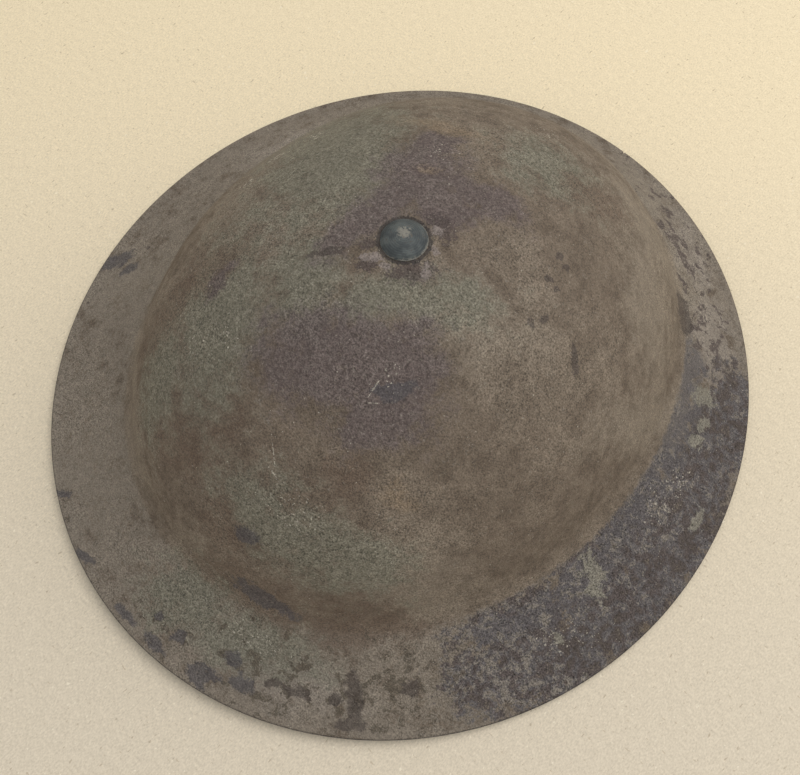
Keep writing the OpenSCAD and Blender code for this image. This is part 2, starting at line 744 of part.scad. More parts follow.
module chin_buckle() {
    r = buckle_wire / 2;
    side = strap_w / 2 + slip + r;
    face = strap_t + touch / 2 + slip + r;
    end = buckle_len / 2 - r;
    color("#6f6a5c") cheek_frame(buckle_at) {
        for (y = [-end, end]) wire([face, y, -side], [face, y, side], buckle_wire);
        wire([-face, 0, -side], [-face, 0, side], buckle_wire);
        for (z = [-side, side]) {
            wire([face, -end, z], [face, end, z], buckle_wire);
            wire([-face, 0, z], [face, 0, z], buckle_wire);
            for (q = [[face, -end], [face, end], [-face, 0]]) translate([q[0], q[1], z]) sphere(r = r);
        }
    }
}

module strap_keeper() {
    thick = 2 * strap_t + touch + 2 * slip;
    color("#4e321e") cheek_frame(keeper_at) difference() {
        cube([thick + 2 * keeper_t, keeper_len, strap_w + 2 * slip + 2 * keeper_t], center = true);
        cube([thick, keeper_len + 2, strap_w + 2 * slip], center = true);
    }
}

shell();
rim_edging();
crown_rivet();
crown_washer();
crown_felt();
cradle_strap_long();
cradle_strap_cross();
crown_ring();
liner_outer_band();
liner_inner_band();
sweatband();
net_cap();
rubber_tube(1);  // rubber_tube_01
rubber_tube(2);  // rubber_tube_02
rubber_tube(3);  // rubber_tube_03
rubber_tube(4);  // rubber_tube_04
rubber_tube(5);  // rubber_tube_05
rubber_tube(6);  // rubber_tube_06
rubber_tube(7);  // rubber_tube_07
rubber_tube(8);  // rubber_tube_08
rubber_tube(9);  // rubber_tube_09
rubber_tube(10);  // rubber_tube_10
rubber_tube(11);  // rubber_tube_11
rubber_tube(12);  // rubber_tube_12
outer_band_rivets();
inner_band_rivets();
cradle_rivets();
lug(1);  // lug_left
lug(-1);  // lug_right
lug_rivet(1);  // lug_rivet_left
lug_rivet(-1);  // lug_rivet_right
bail(1);  // bail_left
bail(-1);  // bail_right
strap_end(1);  // strap_end_left
strap_end(-1);  // strap_end_right
strap_rivet_right();
chinstrap();
strap_tail();
chin_buckle();
strap_keeper();
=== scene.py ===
# Old steel helmet with a wide brim, lying on its rim. Run in Blender 4.5.
import bmesh
import bpy
import math
import numpy as np
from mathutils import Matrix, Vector


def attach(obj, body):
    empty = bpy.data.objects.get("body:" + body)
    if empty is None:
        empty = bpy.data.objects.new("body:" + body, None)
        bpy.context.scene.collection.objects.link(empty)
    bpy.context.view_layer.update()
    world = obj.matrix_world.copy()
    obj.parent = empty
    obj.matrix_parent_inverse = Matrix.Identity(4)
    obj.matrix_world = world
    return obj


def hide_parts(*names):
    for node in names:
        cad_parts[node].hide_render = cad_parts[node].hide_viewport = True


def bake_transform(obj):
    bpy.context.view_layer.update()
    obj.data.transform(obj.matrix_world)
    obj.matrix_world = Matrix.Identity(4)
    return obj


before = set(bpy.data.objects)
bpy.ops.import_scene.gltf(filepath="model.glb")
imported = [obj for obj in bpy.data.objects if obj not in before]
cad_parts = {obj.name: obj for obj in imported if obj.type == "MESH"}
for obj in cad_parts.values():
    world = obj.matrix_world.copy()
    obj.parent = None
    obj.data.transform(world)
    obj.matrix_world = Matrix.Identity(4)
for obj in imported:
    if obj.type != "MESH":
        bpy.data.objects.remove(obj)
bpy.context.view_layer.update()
scene = bpy.context.scene
mm = 0.001


# Studio

# Places of the camera in millimetres, the rest in metres
studio = {
    "cameraAt": (108.84, -117.88, 376.84), "cameraLooksAt": (3.47, -5.75, 0.0), "lens": 41.957,
    "sensor": 36, "nearest": 0.01, "farthest": 50,
    # The floor's two colours hold painted light: lit far off towards the lamp, shaded near the camera
    "floorLitFar": (0.830, 0.700, 0.480), "floorShadedNear": (0.690, 0.602, 0.470), "floorSize": 40.0,
    "floorDrop": 0.0002, "sweepNear": 450.0, "sweepFar": 1500.0,
    "keyAt": (0.4, 0.6, 1.3), "keyLooksAt": (0, 0, 0.03), "keySize": 1.4, "keyPower": 13.0,
    "keyColour": (1.0, 0.985, 0.955),
    "skyStrength": 0.6, "skyColour": (0.97, 0.985, 1.0), "backdrop": (0.80, 0.72, 0.58),
}


def addAimed(name, data, place, target):
    # Camera or lamp at a place, turned to its target
    thing = bpy.data.objects.new(name, data)
    thing.location = Vector(place)
    thing.rotation_euler = (Vector(target) - Vector(place)).to_track_quat("-Z", "Y").to_euler()
    scene.collection.objects.link(thing)
    return thing


def makeCamera():
    data = bpy.data.cameras.new("photoCamera")
    data.lens, data.sensor_width = studio["lens"], studio["sensor"]
    data.clip_start, data.clip_end = studio["nearest"], studio["farthest"]
    place, target = ([v * mm for v in studio[key]] for key in ("cameraAt", "cameraLooksAt"))
    scene.camera = addAimed("photoCamera", data, place, target)


def makeSoftbox():
    data = bpy.data.lights.new("keySoftbox", "AREA")
    data.energy, data.size, data.color = studio["keyPower"], studio["keySize"], studio["keyColour"]
    addAimed("keySoftbox", data, studio["keyAt"], studio["keyLooksAt"])


makeCamera()
makeSoftbox()
print("studio: camera and lamp")


# Node helpers

class Signal:
    # What a node gives out. Arithmetic with it adds maths nodes to its tree.
    def __init__(self, socket):
        self.socket, self.tree = socket, socket.id_data

    def __add__(self, other):
        return maths("ADD", self, other)

    def __sub__(self, other):
        return maths("SUBTRACT", self, other)

    def __rsub__(self, other):
        return maths("SUBTRACT", other, self)

    def __mul__(self, other):
        return maths("MULTIPLY", self, other)


def treeOf(*values):
    return next(value.tree for value in values if isinstance(value, Signal))


def join(value, socket):
    # Give a socket a signal or a plain value
    if isinstance(value, Signal):
        value.tree.links.new(value.socket, socket)
    else:
        socket.default_value = value


def addNode(tree, kind, inputs=None, **settings):
    made = tree.nodes.new(kind)
    for key, value in settings.items():
        setattr(made, key, value)
    for key, value in (inputs or {}).items():
        join(value, made.inputs[key])
    return made


def signalOf(tree, kind, inputs=None, out=0, **settings):
    return Signal(addNode(tree, kind, inputs, **settings).outputs[out])


def maths(operation, *values, clamp=False):
    return signalOf(treeOf(*values), "ShaderNodeMath", dict(enumerate(values)),
                    operation=operation, use_clamp=clamp)


def vectorMaths(operation, a, b=(0, 0, 0), scale=1.0):
    # Input 3 of the node is the number that SCALE takes
    return signalOf(a.tree, "ShaderNodeVectorMath", {0: a, 1: b, 3: scale},
                    "Value" if operation == "LENGTH" else "Vector", operation=operation)


def axes(place):
    return [Signal(socket) for socket in addNode(place.tree, "ShaderNodeSeparateXYZ", {0: place}).outputs]


def mixColour(amount, a, b, blend="MIX"):
    made = addNode(treeOf(amount, a, b), "ShaderNodeMix", data_type="RGBA", blend_type=blend)
    for key, value in (("Factor", amount), ("A", a), ("B", b)):
        socket = next(s for s in made.inputs if s.name == key and s.enabled)
        join((*value, 1.0) if isinstance(value, tuple) else value, socket)
    return Signal(next(s for s in made.outputs if s.enabled))


def shaded(colour, shade):
    # The colour times a brightness round 1
    grey = signalOf(shade.tree, "ShaderNodeCombineColor", {channel: shade for channel in range(3)})
    return mixColour(1.0, colour, grey, "MULTIPLY")


def spread(value, low, high, toLow=0.0, toHigh=1.0, smooth=True):
    # A value between low and high becomes one between toLow and toHigh
    return signalOf(value.tree, "ShaderNodeMapRange", {
        "Value": value, "From Min": low, "From Max": high, "To Min": toLow, "To Max": toHigh},
        "Result", interpolation_type="SMOOTHSTEP" if smooth else "LINEAR", clamp=True)


def noise(place, scale, detail=3.0, rough=0.5, warp=0.0, out="Fac"):
    # The scale is in waves to a millimetre
    return signalOf(place.tree, "ShaderNodeTexNoise", {
        "Vector": place, "Scale": scale, "Detail": detail, "Roughness": rough, "Distortion": warp}, out)


def newGroup(name, inputs, outputs):
    # Node group from {name: start value}: its tree, its inputs as signals and its output sockets
    tree = bpy.data.node_groups.new(name, "ShaderNodeTree")
    for label, start in inputs.items():
        kind = "NodeSocketVector" if isinstance(start, tuple) else "NodeSocketFloat"
        tree.interface.new_socket(label, in_out="INPUT", socket_type=kind).default_value = start
    for label in outputs:
        tree.interface.new_socket(label, in_out="OUTPUT", socket_type="NodeSocketFloat")
    given, result = tree.nodes.new("NodeGroupInput"), tree.nodes.new("NodeGroupOutput")
    return tree, {label: Signal(given.outputs[label]) for label in inputs}, result.inputs


def useGroup(group, **inputs):
    made = addNode(treeOf(*inputs.values()), "ShaderNodeGroup", node_tree=group)
    for label, value in inputs.items():
        join(value, made.inputs[label])
    return {socket.name: Signal(socket) for socket in made.outputs}


def startMaterial(name, **plain):
    # New material with plain values for its shader, and its place in millimetres
    material = bpy.data.materials.new(name)
    material.use_nodes = True
    tree = material.node_tree
    for key, value in plain.items():
        tree.nodes["Principled BSDF"].inputs[key.replace("_", " ")].default_value = value
    return material, vectorMaths("SCALE", signalOf(tree, "ShaderNodeTexCoord", out="Object"), scale=1 / mm)


def endMaterial(material, height, depth, **signals):
    # Join the signals to the shader, and the height from 0 to 1 as bump over that depth in millimetres
    sockets = material.node_tree.nodes["Principled BSDF"].inputs
    for key, value in signals.items():
        join(value, sockets[key.replace("_", " ")])
    bump = {"Height": height, "Strength": 1.0, "Distance": depth * mm}
    join(signalOf(material.node_tree, "ShaderNodeBump", bump), sockets["Normal"])
    return material


def pieceUv(place):
    return signalOf(place.tree, "ShaderNodeUVMap", out="UV", uv_map="pieceUv")


# Shared effects

zero = (0, 0, 0)
flatten = (1, 1, 0)


def makePatchGroup():
    # 1 at the middle of an oval seen from above, 0 at its edge, less outside
    tree, given, result = newGroup("patch", {
        "Place": zero, "Middle": zero, "Radii": (10, 10, 1), "Turn": 0.0}, ["Field"])
    moved = vectorMaths("SUBTRACT", given["Place"], given["Middle"])
    turned = signalOf(tree, "ShaderNodeVectorRotate", {"Vector": moved, "Angle": given["Turn"] * -1.0},
                      rotation_type="Z_AXIS")
    flat = vectorMaths("MULTIPLY", vectorMaths("DIVIDE", turned, given["Radii"]), flatten)
    join(1.0 - vectorMaths("LENGTH", flat), result["Field"])
    return tree


def makeRaggedGroup():
    # Mask from a field and a noise: the noise makes the field's edge ragged
    tree, given, result = newGroup("raggedMask", {
        "Field": 0.0, "Noise": 0.5, "Ragged": 1.0, "Soft": 0.1}, ["Mask"])
    total = given["Field"] + (given["Noise"] - 0.5) * given["Ragged"]
    join(maths("ADD", maths("DIVIDE", total, given["Soft"]), 0.5, clamp=True), result["Mask"])
    return tree


def makeGrainGroup():
    # Fine grain of a rough coat: brightness round 1, and a height
    tree, given, result = newGroup("coatGrain", {"Place": zero, "Contrast": 0.3}, ["Shade", "Height"])
    both = noise(given["Place"], 1.6, 2.0, 0.65) * 0.8 + noise(given["Place"], 0.38, 3.0, 0.6) * 0.2
    join((both - 0.5) * 4.0 * given["Contrast"] + 1.0, result["Shade"])
    join(both, result["Height"])
    return tree


def makeWeaveGroup():
    # Plain weave on a flat place in millimetres: a height for the threads, and 1 where one thread lies on top
    tree, given, result = newGroup("weave", {"Place": zero, "Pitch": 0.8}, ["Height", "Over"])
    along, across = (maths("SINE", maths("DIVIDE", run, given["Pitch"]) * math.pi)
                     for run in axes(given["Place"])[:2])
    join(maths("SQRT", maths("ABSOLUTE", along) * maths("ABSOLUTE", across)), result["Height"])
    join(spread(along * across, -0.15, 0.15), result["Over"])
    return tree


def makeRustGroup():
    # Blotches with small pits at their edges, more of them as Amount goes from 0 to 1
    tree, given, result = newGroup("rustBlotches", {"Place": zero, "Amount": 0.5, "Scale": 0.3}, ["Mask"])
    level = noise(vectorMaths("SCALE", given["Place"], scale=given["Scale"]), 1.0, 6.0, 0.7)
    join(maths("MULTIPLY", level - (0.68 - given["Amount"] * 0.36), 14.0, clamp=True), result["Mask"])
    return tree


def makeCrackGroup():
    # 1 along the lines between cells, 0 from that width on
    tree, given, result = newGroup("cracks", {"Place": zero, "Scale": 0.5, "Width": 0.05}, ["Mask"])
    gap = signalOf(tree, "ShaderNodeTexVoronoi", {"Vector": given["Place"], "Scale": given["Scale"]},
                   "Distance", feature="DISTANCE_TO_EDGE")
    join(spread(gap, 0.0, given["Width"], 1.0, 0.0), result["Mask"])
    return tree


patchGroup = makePatchGroup()
raggedGroup = makeRaggedGroup()
grainGroup = makeGrainGroup()
weaveGroup = makeWeaveGroup()
rustGroup = makeRustGroup()
crackGroup = makeCrackGroup()


def ragged(field, level, raggedness, soft):
    return useGroup(raggedGroup, Field=field, Noise=level, Ragged=raggedness, Soft=soft)["Mask"]


def rust(place, amount, scale):
    return useGroup(rustGroup, Place=place, Amount=amount, Scale=scale)["Mask"]


def cracks(place, scale, width):
    return useGroup(crackGroup, Place=place, Scale=scale, Width=width)["Mask"]


def patchField(place, patches):
    # Highest of several ovals: [x, y, half length, half width, angle]
    field = None
    for x, y, long, wide, angle in patches:
        one = useGroup(patchGroup, Place=place, Middle=(x, y, 0.0), Radii=(long, wide, 1.0),
                       Turn=math.radians(angle))["Field"]
        field = one if field is None else maths("MAXIMUM", field, one)
    return field


# Weathered paint of the shell

# Where the coats lie, in millimetres seen from above: [x, y, half length, half width, angle]
coats = {
    "tan": [[65, 64, 30, 11, -43], [94, 40, 8, 34, -16], [70, -72, 22, 14, 40], [-75, 22, 16, 44, 12],
            [32, -6, 22, 14, 42], [-50, -102, 26, 8, -38], [-78, -76, 26, 7, -41],
            [-112, -52, 24, 14, 60], [-60, -118, 34, 20, -30], [20, -120, 46, 14, 15], [50, 96, 30, 20, 35],
            [26, 140, 40, 10, 80], [-104, 40, 20, 40, 20]],
    "olive": [[-34, -56, 34, 17, -54], [-44, -80, 22, 10, -54], [30, -88, 28, 11, 12], [54, -80, 17, 9, 35],
              [-51, 16, 28, 46, 45], [9, -19, 18, 8, 53], [10, 67, 20, 14, 30], [12, -130, 22, 12, 20],
              [40, -124, 26, 10, 28], [-16, -30, 20, 12, -45], [26, -6, 17, 9, 42]],
    "purple": [[-14, 26, 14, 15, 60], [-15, 4, 17, 8, 88], [-16, -12, 11, 6, 88], [5, 33, 14, 7, 5],
               [3, 20, 12, 6, 46], [-22, 40, 7, 8, 45], [10, -44, 25, 15, 30], [28, -30, 14, 11, 45],
               [32, -46, 15, 11, 45], [-44, -46, 3, 6, 0]],
    "dirt": [[-58, -62, 8, 20, -2], [-15, -95, 11, 7, 20], [-50, -42, 8, 13, -40], [29, -111, 24, 6, 12],
             [66, -92, 26, 6, 41], [31, -79, 9, 5, 40], [12, -104, 9, 6, 10], [30, 73, 14, 8, 37],
             [-96, 8, 6, 16, 30], [36, -66, 9, 6, 30], [-5, -82, 4, 6, 0]],
    "ochre": [[-29, 50, 14, 4, 22], [-13, 28, 4, 2, 44], [52, -58, 4.4, 2.2, 45]],
    "brim": [[124, -54, 29, 16, 60], [130, -20, 34, 17, 80], [129, 16, 34, 18, 98], [121, 50, 27, 13, 112],
             [114, -8, 34, 11, 88], [108, -74, 11, 8, 40], [107, -48, 22, 9, 64], [117, 73, 24, 13, 118]],
    "wash": [[92, 96, 20, 11, -50], [-104, 56, 34, 12, 56], [58, 126, 20, 8, -38], [54, -125, 26, 9, 22]],
    "foot": [[110, 8, 28, 8, 96], [103, 46, 24, 9, 116], [94, 72, 17, 8, 118], [113, -24, 22, 7, 80],
             [103, -56, 14, 5, 62]],
    "islands": [[50, 124, 40, 15, -36], [82, 100, 22, 14, -50], [62, -124, 44, 14, 24], [88, -98, 20, 14, 44],
                [-128, -48, 12, 6, 66], [8, -142, 14, 4, 10]],
    "pale": [[115, -16, 6, 4, -25], [121, -20, 4, 3, 0], [103, 74, 5, 4, 60], [110, 64, 4, 3, 60],
             [112, 56, 3, 3, 60], [122, -43, 3, 2, 0], [133, 32, 5, 2, 100]],
    "blue": [[37, -133, 3.4, 2.6, 42], [15, -142, 3, 2.2, 41], [31, -145, 7, 3, 24], [4, -142, 2, 1.5, 41],
             [-132, -50, 9, 4, 60], [-122, -50, 4, 3, 67], [33, -110, 14, 2.2, 14], [31, -38, 7, 3, 50],
             [20, -100, 5, 2, 20], [45, -137, 5, 3, 20],
             [-36, -147, 5, 1.6, 14], [-8, -151, 6, 1.8, 4], [9, -150, 5, 2.0, -4], [30, -148, 6, 2.2, -12],
             [-64, -137, 5, 1.4, 26]],
    "dark": [[38, 37, 1.7, 1.5, 59], [42, 36, 1.3, 1.1, 58], [41, 27, 1.2, 1.0, 55], [45, 27, 1.2, 1.1, 52],
             [49, 16, 1.4, 1.3, 52], [47, 11, 1.2, 1.1, 0], [64, 16, 5, 1.1, -43], [75, 93, 9, 3.6, -46],
             [80, -112, 9, 2.6, -43], [85, -120, 6, 2, 43], [63, -125, 5, 1.8, 24], [54, -129, 3, 1.7, 43],
             [75, -117, 2.3, 2.1, 43], [93, -95, 3, 2.7, 44], [-17, -20, 6, 1.3, 49]],
    "torn": [[-3.2, -11.6, 3.4, 1.5, 47], [5.5, 10.5, 2.2, 2.0, 0], [9.8, 4, 1.8, 1.8, 0],
             [2, -11, 2.2, 1.6, 0], [13, -4, 2.4, 1.6, -43]],
    "scab": [[10, -6.5, 8, 3.6, 47], [-8, -9, 3, 1.8, 47], [8, 12, 4, 3, -43], [-3, -14.5, 4, 2.6, 47],
             [3, 13, 5, 3, 20]],
    "flecks": [[-28, -58, 12, 9, 0], [-36, -68, 9, 7, 0], [-4, 84, 9, 8, 0], [5, -15, 2, 2, 0],
               [30, -84, 18, 8, 10], [60, -72, 10, 6, 35], [28, -36, 8, 7, 0], [40, -122, 22, 8, 25],
               [-18, 38, 10, 8, 40], [118, 30, 10, 26, 0], [124, -40, 24, 10, 60]],
    "scratch": [[14.3, -77.5, 5, 0.14, -41], [17, -81, 2, 0.18, -10], [26, -41.5, 3.4, 0.18, -83],
                [29, -45, 2, 0.15, 40]],
    "ridge": [[-67.5, 23.5, 7, 4.5, 62], [-73.5, 8, 7, 3.5, 78], [-72.5, -9, 4, 3, 100]],
}
# Each coat's softness, raggedness, the place and the noise that shape its edge, extra width, and cover
coatEdges = {
    "tan": (1.0, 3.2, "pushed", "mottle", 0.0, 0.62), "wash": (0.8, 3.5, "pushed", "mottle", 0.0, 0.55),
    "olive": (0.8, 4.6, "pushed", "mottle", 0.0, 0.80), "dirt": (0.7, 4.2, "pushed", "drift", 0.0, 0.62),
    "purple": (0.6, 3.6, "pushed", "mottle", 0.1, 0.88), "ochre": (1.1, 4.5, "pushed", "speck", -0.1, 0.50),
    "brim": (0.25, 5.0, "pushed", "mottle", 0.15, 0.93), "foot": (0.4, 4.0, "pushed", "mottle", 0.0, 0.75),
    "pale": (0.3, 6.0, "nudged", "drift", 0.0, 0.80), "blue": (0.25, 3.0, "nudged", "drift", 0.0, 0.75),
    "dark": (0.25, 2.6, "nudged", "drift", 0.1, 0.72), "scab": (0.3, 5.0, "nudged", "speck", 0.0, 0.75),
    "torn": (0.4, 5.0, "nudged", "speck", 0.0, 0.75), "scratch": (0.4, 6.5, "plain", "fleck", -0.25, 0.85),
    "ridge": (0.3, 6.0, "plain", "crumb", -1.2, 0.95),
}
# Noises of the paint: scale, detail, roughness, distortion
paintNoises = {
    "cloud": (0.028, 4.0, 0.6), "mottle": (0.11, 9.0, 0.80), "drift": (0.20, 7.0, 0.76, 0.5),
    "speck": (0.66, 5.0, 0.74), "fleck": (1.45, 2.0, 0.6), "crumb": (0.5, 2.0, 0.6),
    "chip": (1.05, 1.5, 0.55), "thread": (0.40, 2.0, 0.5, 0.4),
}
paint = {
    "brown": (0.190, 0.149, 0.112), "brownDark": (0.122, 0.094, 0.070), "tan": (0.256, 0.213, 0.164),
    "olive": (0.134, 0.128, 0.096), "oliveLight": (0.224, 0.212, 0.164), "purple": (0.092, 0.070, 0.067),
    "purpleLight": (0.158, 0.127, 0.119), "dirt": (0.128, 0.090, 0.066), "ochre": (0.260, 0.192, 0.126),
    "brimTan": (0.226, 0.194, 0.157), "wash": (0.275, 0.238, 0.202), "brimDark": (0.082, 0.066, 0.064),
    "brimBlue": (0.100, 0.091, 0.094), "brimPale": (0.190, 0.166, 0.142), "island": (0.088, 0.068, 0.064),
    "islandLow": (0.104, 0.086, 0.064), "pale": (0.222, 0.204, 0.162), "blue": (0.084, 0.077, 0.082),
    "dark": (0.070, 0.056, 0.050), "white": (0.44, 0.40, 0.33), "black": (0.036, 0.032, 0.032),
    "scab": (0.074, 0.056, 0.054), "torn": (0.250, 0.210, 0.190), "curl": (0.250, 0.222, 0.186),
    "brimTop": (23.0, 25.0), "rivetRing": 8.6, "ringWidth": 0.75, "grainContrast": 0.74, "bumpDepth": 1.05,
}


def makePaintMaterial(name, noseShadeFrom=None):
    # On the rim edging: how far across the strip its turned edge begins, from where that edge is darkened as
    # painted shade
    material, place = startMaterial(name, Roughness=0.85, Specular_IOR_Level=0.3)

    def push(start, scale, rough, reach):
        # A place moved about by a noise, up to half that many millimetres, so that no coat has a plain edge
        way = vectorMaths("SUBTRACT", noise(place, scale, 3.0, rough, out="Color"), (0.5, 0.5, 0.5))
        return vectorMaths("ADD", start, vectorMaths("SCALE", way, scale=reach))

    nudged = push(place, 0.33, 0.65, 4.0)
    places = {"plain": place, "nudged": nudged, "pushed": push(nudged, 0.05, 0.6, 16.0)}
    noises = {key: noise(place, *settings) for key, settings in paintNoises.items()}
    cloud, mottle, drift, speck = (noises[key] for key in ("cloud", "mottle", "drift", "speck"))
    island = noise(nudged, 0.20, 6.0, 0.62, 0.3)
    side, high = axes(place)[1], axes(nudged)[2]
    onBrim = spread(high, *paint["brimTop"], 1.0, 0.0)

    def lay(amount, top, strength):
        nonlocal colour
        colour = mixColour(amount * strength, colour, top)

    def coat(name, top=None, within=None):
        soft, raggedness, where, texture, wider, cover = coatEdges[name]
        field = patchField(places[where], coats[name])
        amount = ragged(field + wider if wider else field, noises[texture], raggedness, soft)
        if within:
            amount = amount * within
        lay(amount, top or paint[name], cover)
        return amount

    colour = mixColour(spread(mottle, 0.33, 0.64), paint["brownDark"], paint["brown"])
    lay(spread(cloud, 0.42, 0.66), paint["tan"], 0.3)
    coat("tan")
    lay(onBrim * spread(mottle, 0.36, 0.50), paint["brimTan"], 0.70)
    coat("wash", within=onBrim)
    oliveMask = coat("olive", mixColour(spread(speck, 0.38, 0.64), paint["olive"], paint["oliveLight"]))
    coat("dirt")
    coat("purple", mixColour(spread(speck, 0.36, 0.66), paint["purple"], paint["purpleLight"]))
    coat("ochre")

    # On the brim the coat is gone in places and has broken into small islands. It stops at the bowl's foot.
    flaking = drift * 0.7 + speck * 0.3 + (cloud - 0.5) * 0.25 - spread(side, -55, 5, 0.0, 0.016)
    brimShade = mixColour(spread(island, 0.46, 0.53), paint["brimDark"], paint["brimBlue"])
    brimShade = mixColour(spread(flaking, 0.535, 0.550), brimShade, paint["brimPale"])
    brimShade = mixColour(spread(flaking, 0.450, 0.435), brimShade, paint["dark"])
    brimMask = coat("brim", brimShade, onBrim)
    coat("foot", mixColour(spread(drift, 0.54, 0.58), paint["brimBlue"], paint["brimPale"]), onBrim)
    nearEdge = spread(high, 3.0, 13.0, -0.35, -1.1)
    islandField = maths("MAXIMUM", patchField(places["pushed"], coats["islands"]) * 0.6, nearEdge)
    islandMask = ragged(islandField - 0.70, island, 7.0, 0.15)
    lay(islandMask * onBrim, mixColour(spread(side, -95, -60), paint["islandLow"], paint["island"]), 0.85)

    # Single stains, then the torn and scabbed paint and the dark ring round the crown rivet
    for stain in ("pale", "blue", "dark", "scab", "torn"):
        coat(stain)
    out = vectorMaths("LENGTH", vectorMaths("MULTIPLY", place, flatten))
    ring = paint["ringWidth"] - maths("ABSOLUTE", out - paint["rivetRing"])
    lay(ragged(ring, speck, 4.0, 0.35), paint["black"], 0.8)

    # Small stains, specks, curled flakes and chips that lie all over
    lay(spread(drift, 0.60, 0.64), paint["brownDark"], 0.35)
    lay(spread(drift, 0.40, 0.36), paint["tan"], 0.25)
    lay(spread(speck, 0.62, 0.68), paint["curl"], 0.5)
    lay(spread(speck, 0.38, 0.32), paint["dark"], 0.45)
    line = maths("ABSOLUTE", noises["thread"] - 0.5)
    curls = spread(line, 0.005, 0.020, 1.0, 0.0) * spread(drift, 0.52, 0.57)
    lay(curls, paint["curl"], 0.55)
    coat("scratch", paint["white"])
    coat("ridge", paint["white"])
    near = spread(patchField(nudged, coats["flecks"]), 0.0, 0.7, 0.0, 0.10)
    lay(spread(noises["chip"] + near, 0.735, 0.765), paint["white"], 0.8)
    # Painted shade: the rim edging's turned edge and its underside are darkened
    if noseShadeFrom:
        lay(spread(axes(pieceUv(place))[1], noseShadeFrom, noseShadeFrom + 0.7), paint["black"], 0.7)

    rough = brimMask + oliveMask * 0.3
    contrast = (rough * 0.35 + spread(cloud, 0.38, 0.62, 0.75, 1.25)) * paint["grainContrast"]
    grain = useGroup(grainGroup, Place=place, Contrast=contrast)
    height = grain["Height"] * 0.6 + (speck * 0.35 + drift * 0.3) + curls * 0.06 - islandMask * 0.04
    return endMaterial(material, height, paint["bumpDepth"], Base_Color=shaded(colour, grain["Shade"]),
                       Roughness=spread(mottle, 0.42, 0.58, 0.92, 0.72))


paintMaterial = makePaintMaterial("weatheredPaint")
print("materials: paint")


# Materials of the fittings

finish = {
    "innerOlive": (0.120, 0.112, 0.078), "innerBrown": (0.100, 0.078, 0.056),
    "rustBrown": (0.125, 0.062, 0.030), "rustDark": (0.060, 0.034, 0.022),
    "felt": (0.150, 0.128, 0.092), "feltLight": (0.235, 0.205, 0.150),
    "webbing": (0.290, 0.235, 0.150), "webbingDark": (0.165, 0.128, 0.080),
    "oilcloth": (0.020, 0.016, 0.013), "oilclothWorn": (0.075, 0.056, 0.038),
    "rubber": (0.046, 0.034, 0.027), "rubberBloom": (0.125, 0.105, 0.085),
    "twine": (0.360, 0.290, 0.185), "twineDark": (0.190, 0.145, 0.090), "leather": (0.115, 0.050, 0.022),
    "leatherDark": (0.045, 0.020, 0.011), "leatherWorn": (0.235, 0.125, 0.062), "tin": (0.400, 0.365, 0.310),
    "wire": (0.150, 0.138, 0.122), "rivetDark": (0.036, 0.046, 0.054), "rivetGrey": (0.088, 0.104, 0.108),
    "rivetPale": (0.290, 0.275, 0.235),
}


def makeInsideMaterial():
    # Inside of the shell: plain paint with rust that comes through
    material, place = startMaterial("insidePaint", Roughness=0.8)
    cloud = noise(place, 0.05, 5.0, 0.6)
    colour = mixColour(spread(cloud, 0.38, 0.62), finish["innerOlive"], finish["innerBrown"])
    colour = mixColour(rust(place, 0.55, 0.11) * 0.7, colour, finish["rustBrown"])
    colour = mixColour(rust(place, 0.25, 0.5), colour, finish["rustDark"])
    grain = useGroup(grainGroup, Place=place, Contrast=0.18)
    return endMaterial(material, grain["Height"], 0.35, Base_Color=shaded(colour, grain["Shade"]))


def makeFeltMaterial():
    material, place = startMaterial("felt", Roughness=1.0, Sheen_Weight=0.35)
    tuft = noise(place, 1.1, 5.0, 0.75, 0.8)
    tread = noise(place, 0.12, 3.0, 0.5)
    colour = mixColour(spread(tuft, 0.35, 0.68), finish["felt"], finish["feltLight"])
    colour = mixColour(spread(tread, 0.5, 0.7, 0, 0.5), colour, finish["innerBrown"])
    return endMaterial(material, tuft, 0.5, Base_Color=colour)


def makeWebbingMaterial():
    material, place = startMaterial("cottonWebbing", Roughness=0.95, Sheen_Weight=0.2)
    threads = useGroup(weaveGroup, Place=pieceUv(place), Pitch=0.85)
    dirt = noise(place, 0.16, 4.0, 0.6)
    colour = mixColour(threads["Over"], finish["webbing"], tuple(v * 0.82 for v in finish["webbing"]))
    # Painted shade: darker where the threads dip between each other
    colour = mixColour(spread(threads["Height"], 0.0, 0.6, 0.55, 0.0), colour, finish["webbingDark"])
    colour = mixColour(spread(dirt, 0.5, 0.72, 0, 0.7), colour, finish["webbingDark"])
    return endMaterial(material, threads["Height"], 0.3, Base_Color=colour)


def makeOilclothMaterial():
    material, place = startMaterial("oilcloth", Roughness=0.42)
    threads = useGroup(weaveGroup, Place=pieceUv(place), Pitch=0.5)
    worn = noise(place, 0.2, 5.0, 0.65)
    split = cracks(place, 0.35, 0.05) * spread(worn, 0.42, 0.6)
    colour = mixColour(spread(worn, 0.55, 0.72), finish["oilcloth"], finish["oilclothWorn"])
    colour = mixColour(split * 0.8, colour, finish["webbingDark"])
    return endMaterial(material, threads["Height"] * 0.3 - split, 0.22, Base_Color=colour,
                       Roughness=spread(worn, 0.4, 0.7, 0.36, 0.75))


def makeRubberMaterial():
    material, place = startMaterial("agedRubber", Roughness=0.7)
    bloom = noise(place, 0.35, 5.0, 0.65)
    colour = mixColour(spread(bloom, 0.45, 0.7), finish["rubber"], finish["rubberBloom"])
    return endMaterial(material, bloom - cracks(place, 0.8, 0.07) * 0.4, 0.25, Base_Color=colour,
                       Roughness=spread(bloom, 0.4, 0.7, 0.6, 0.9))


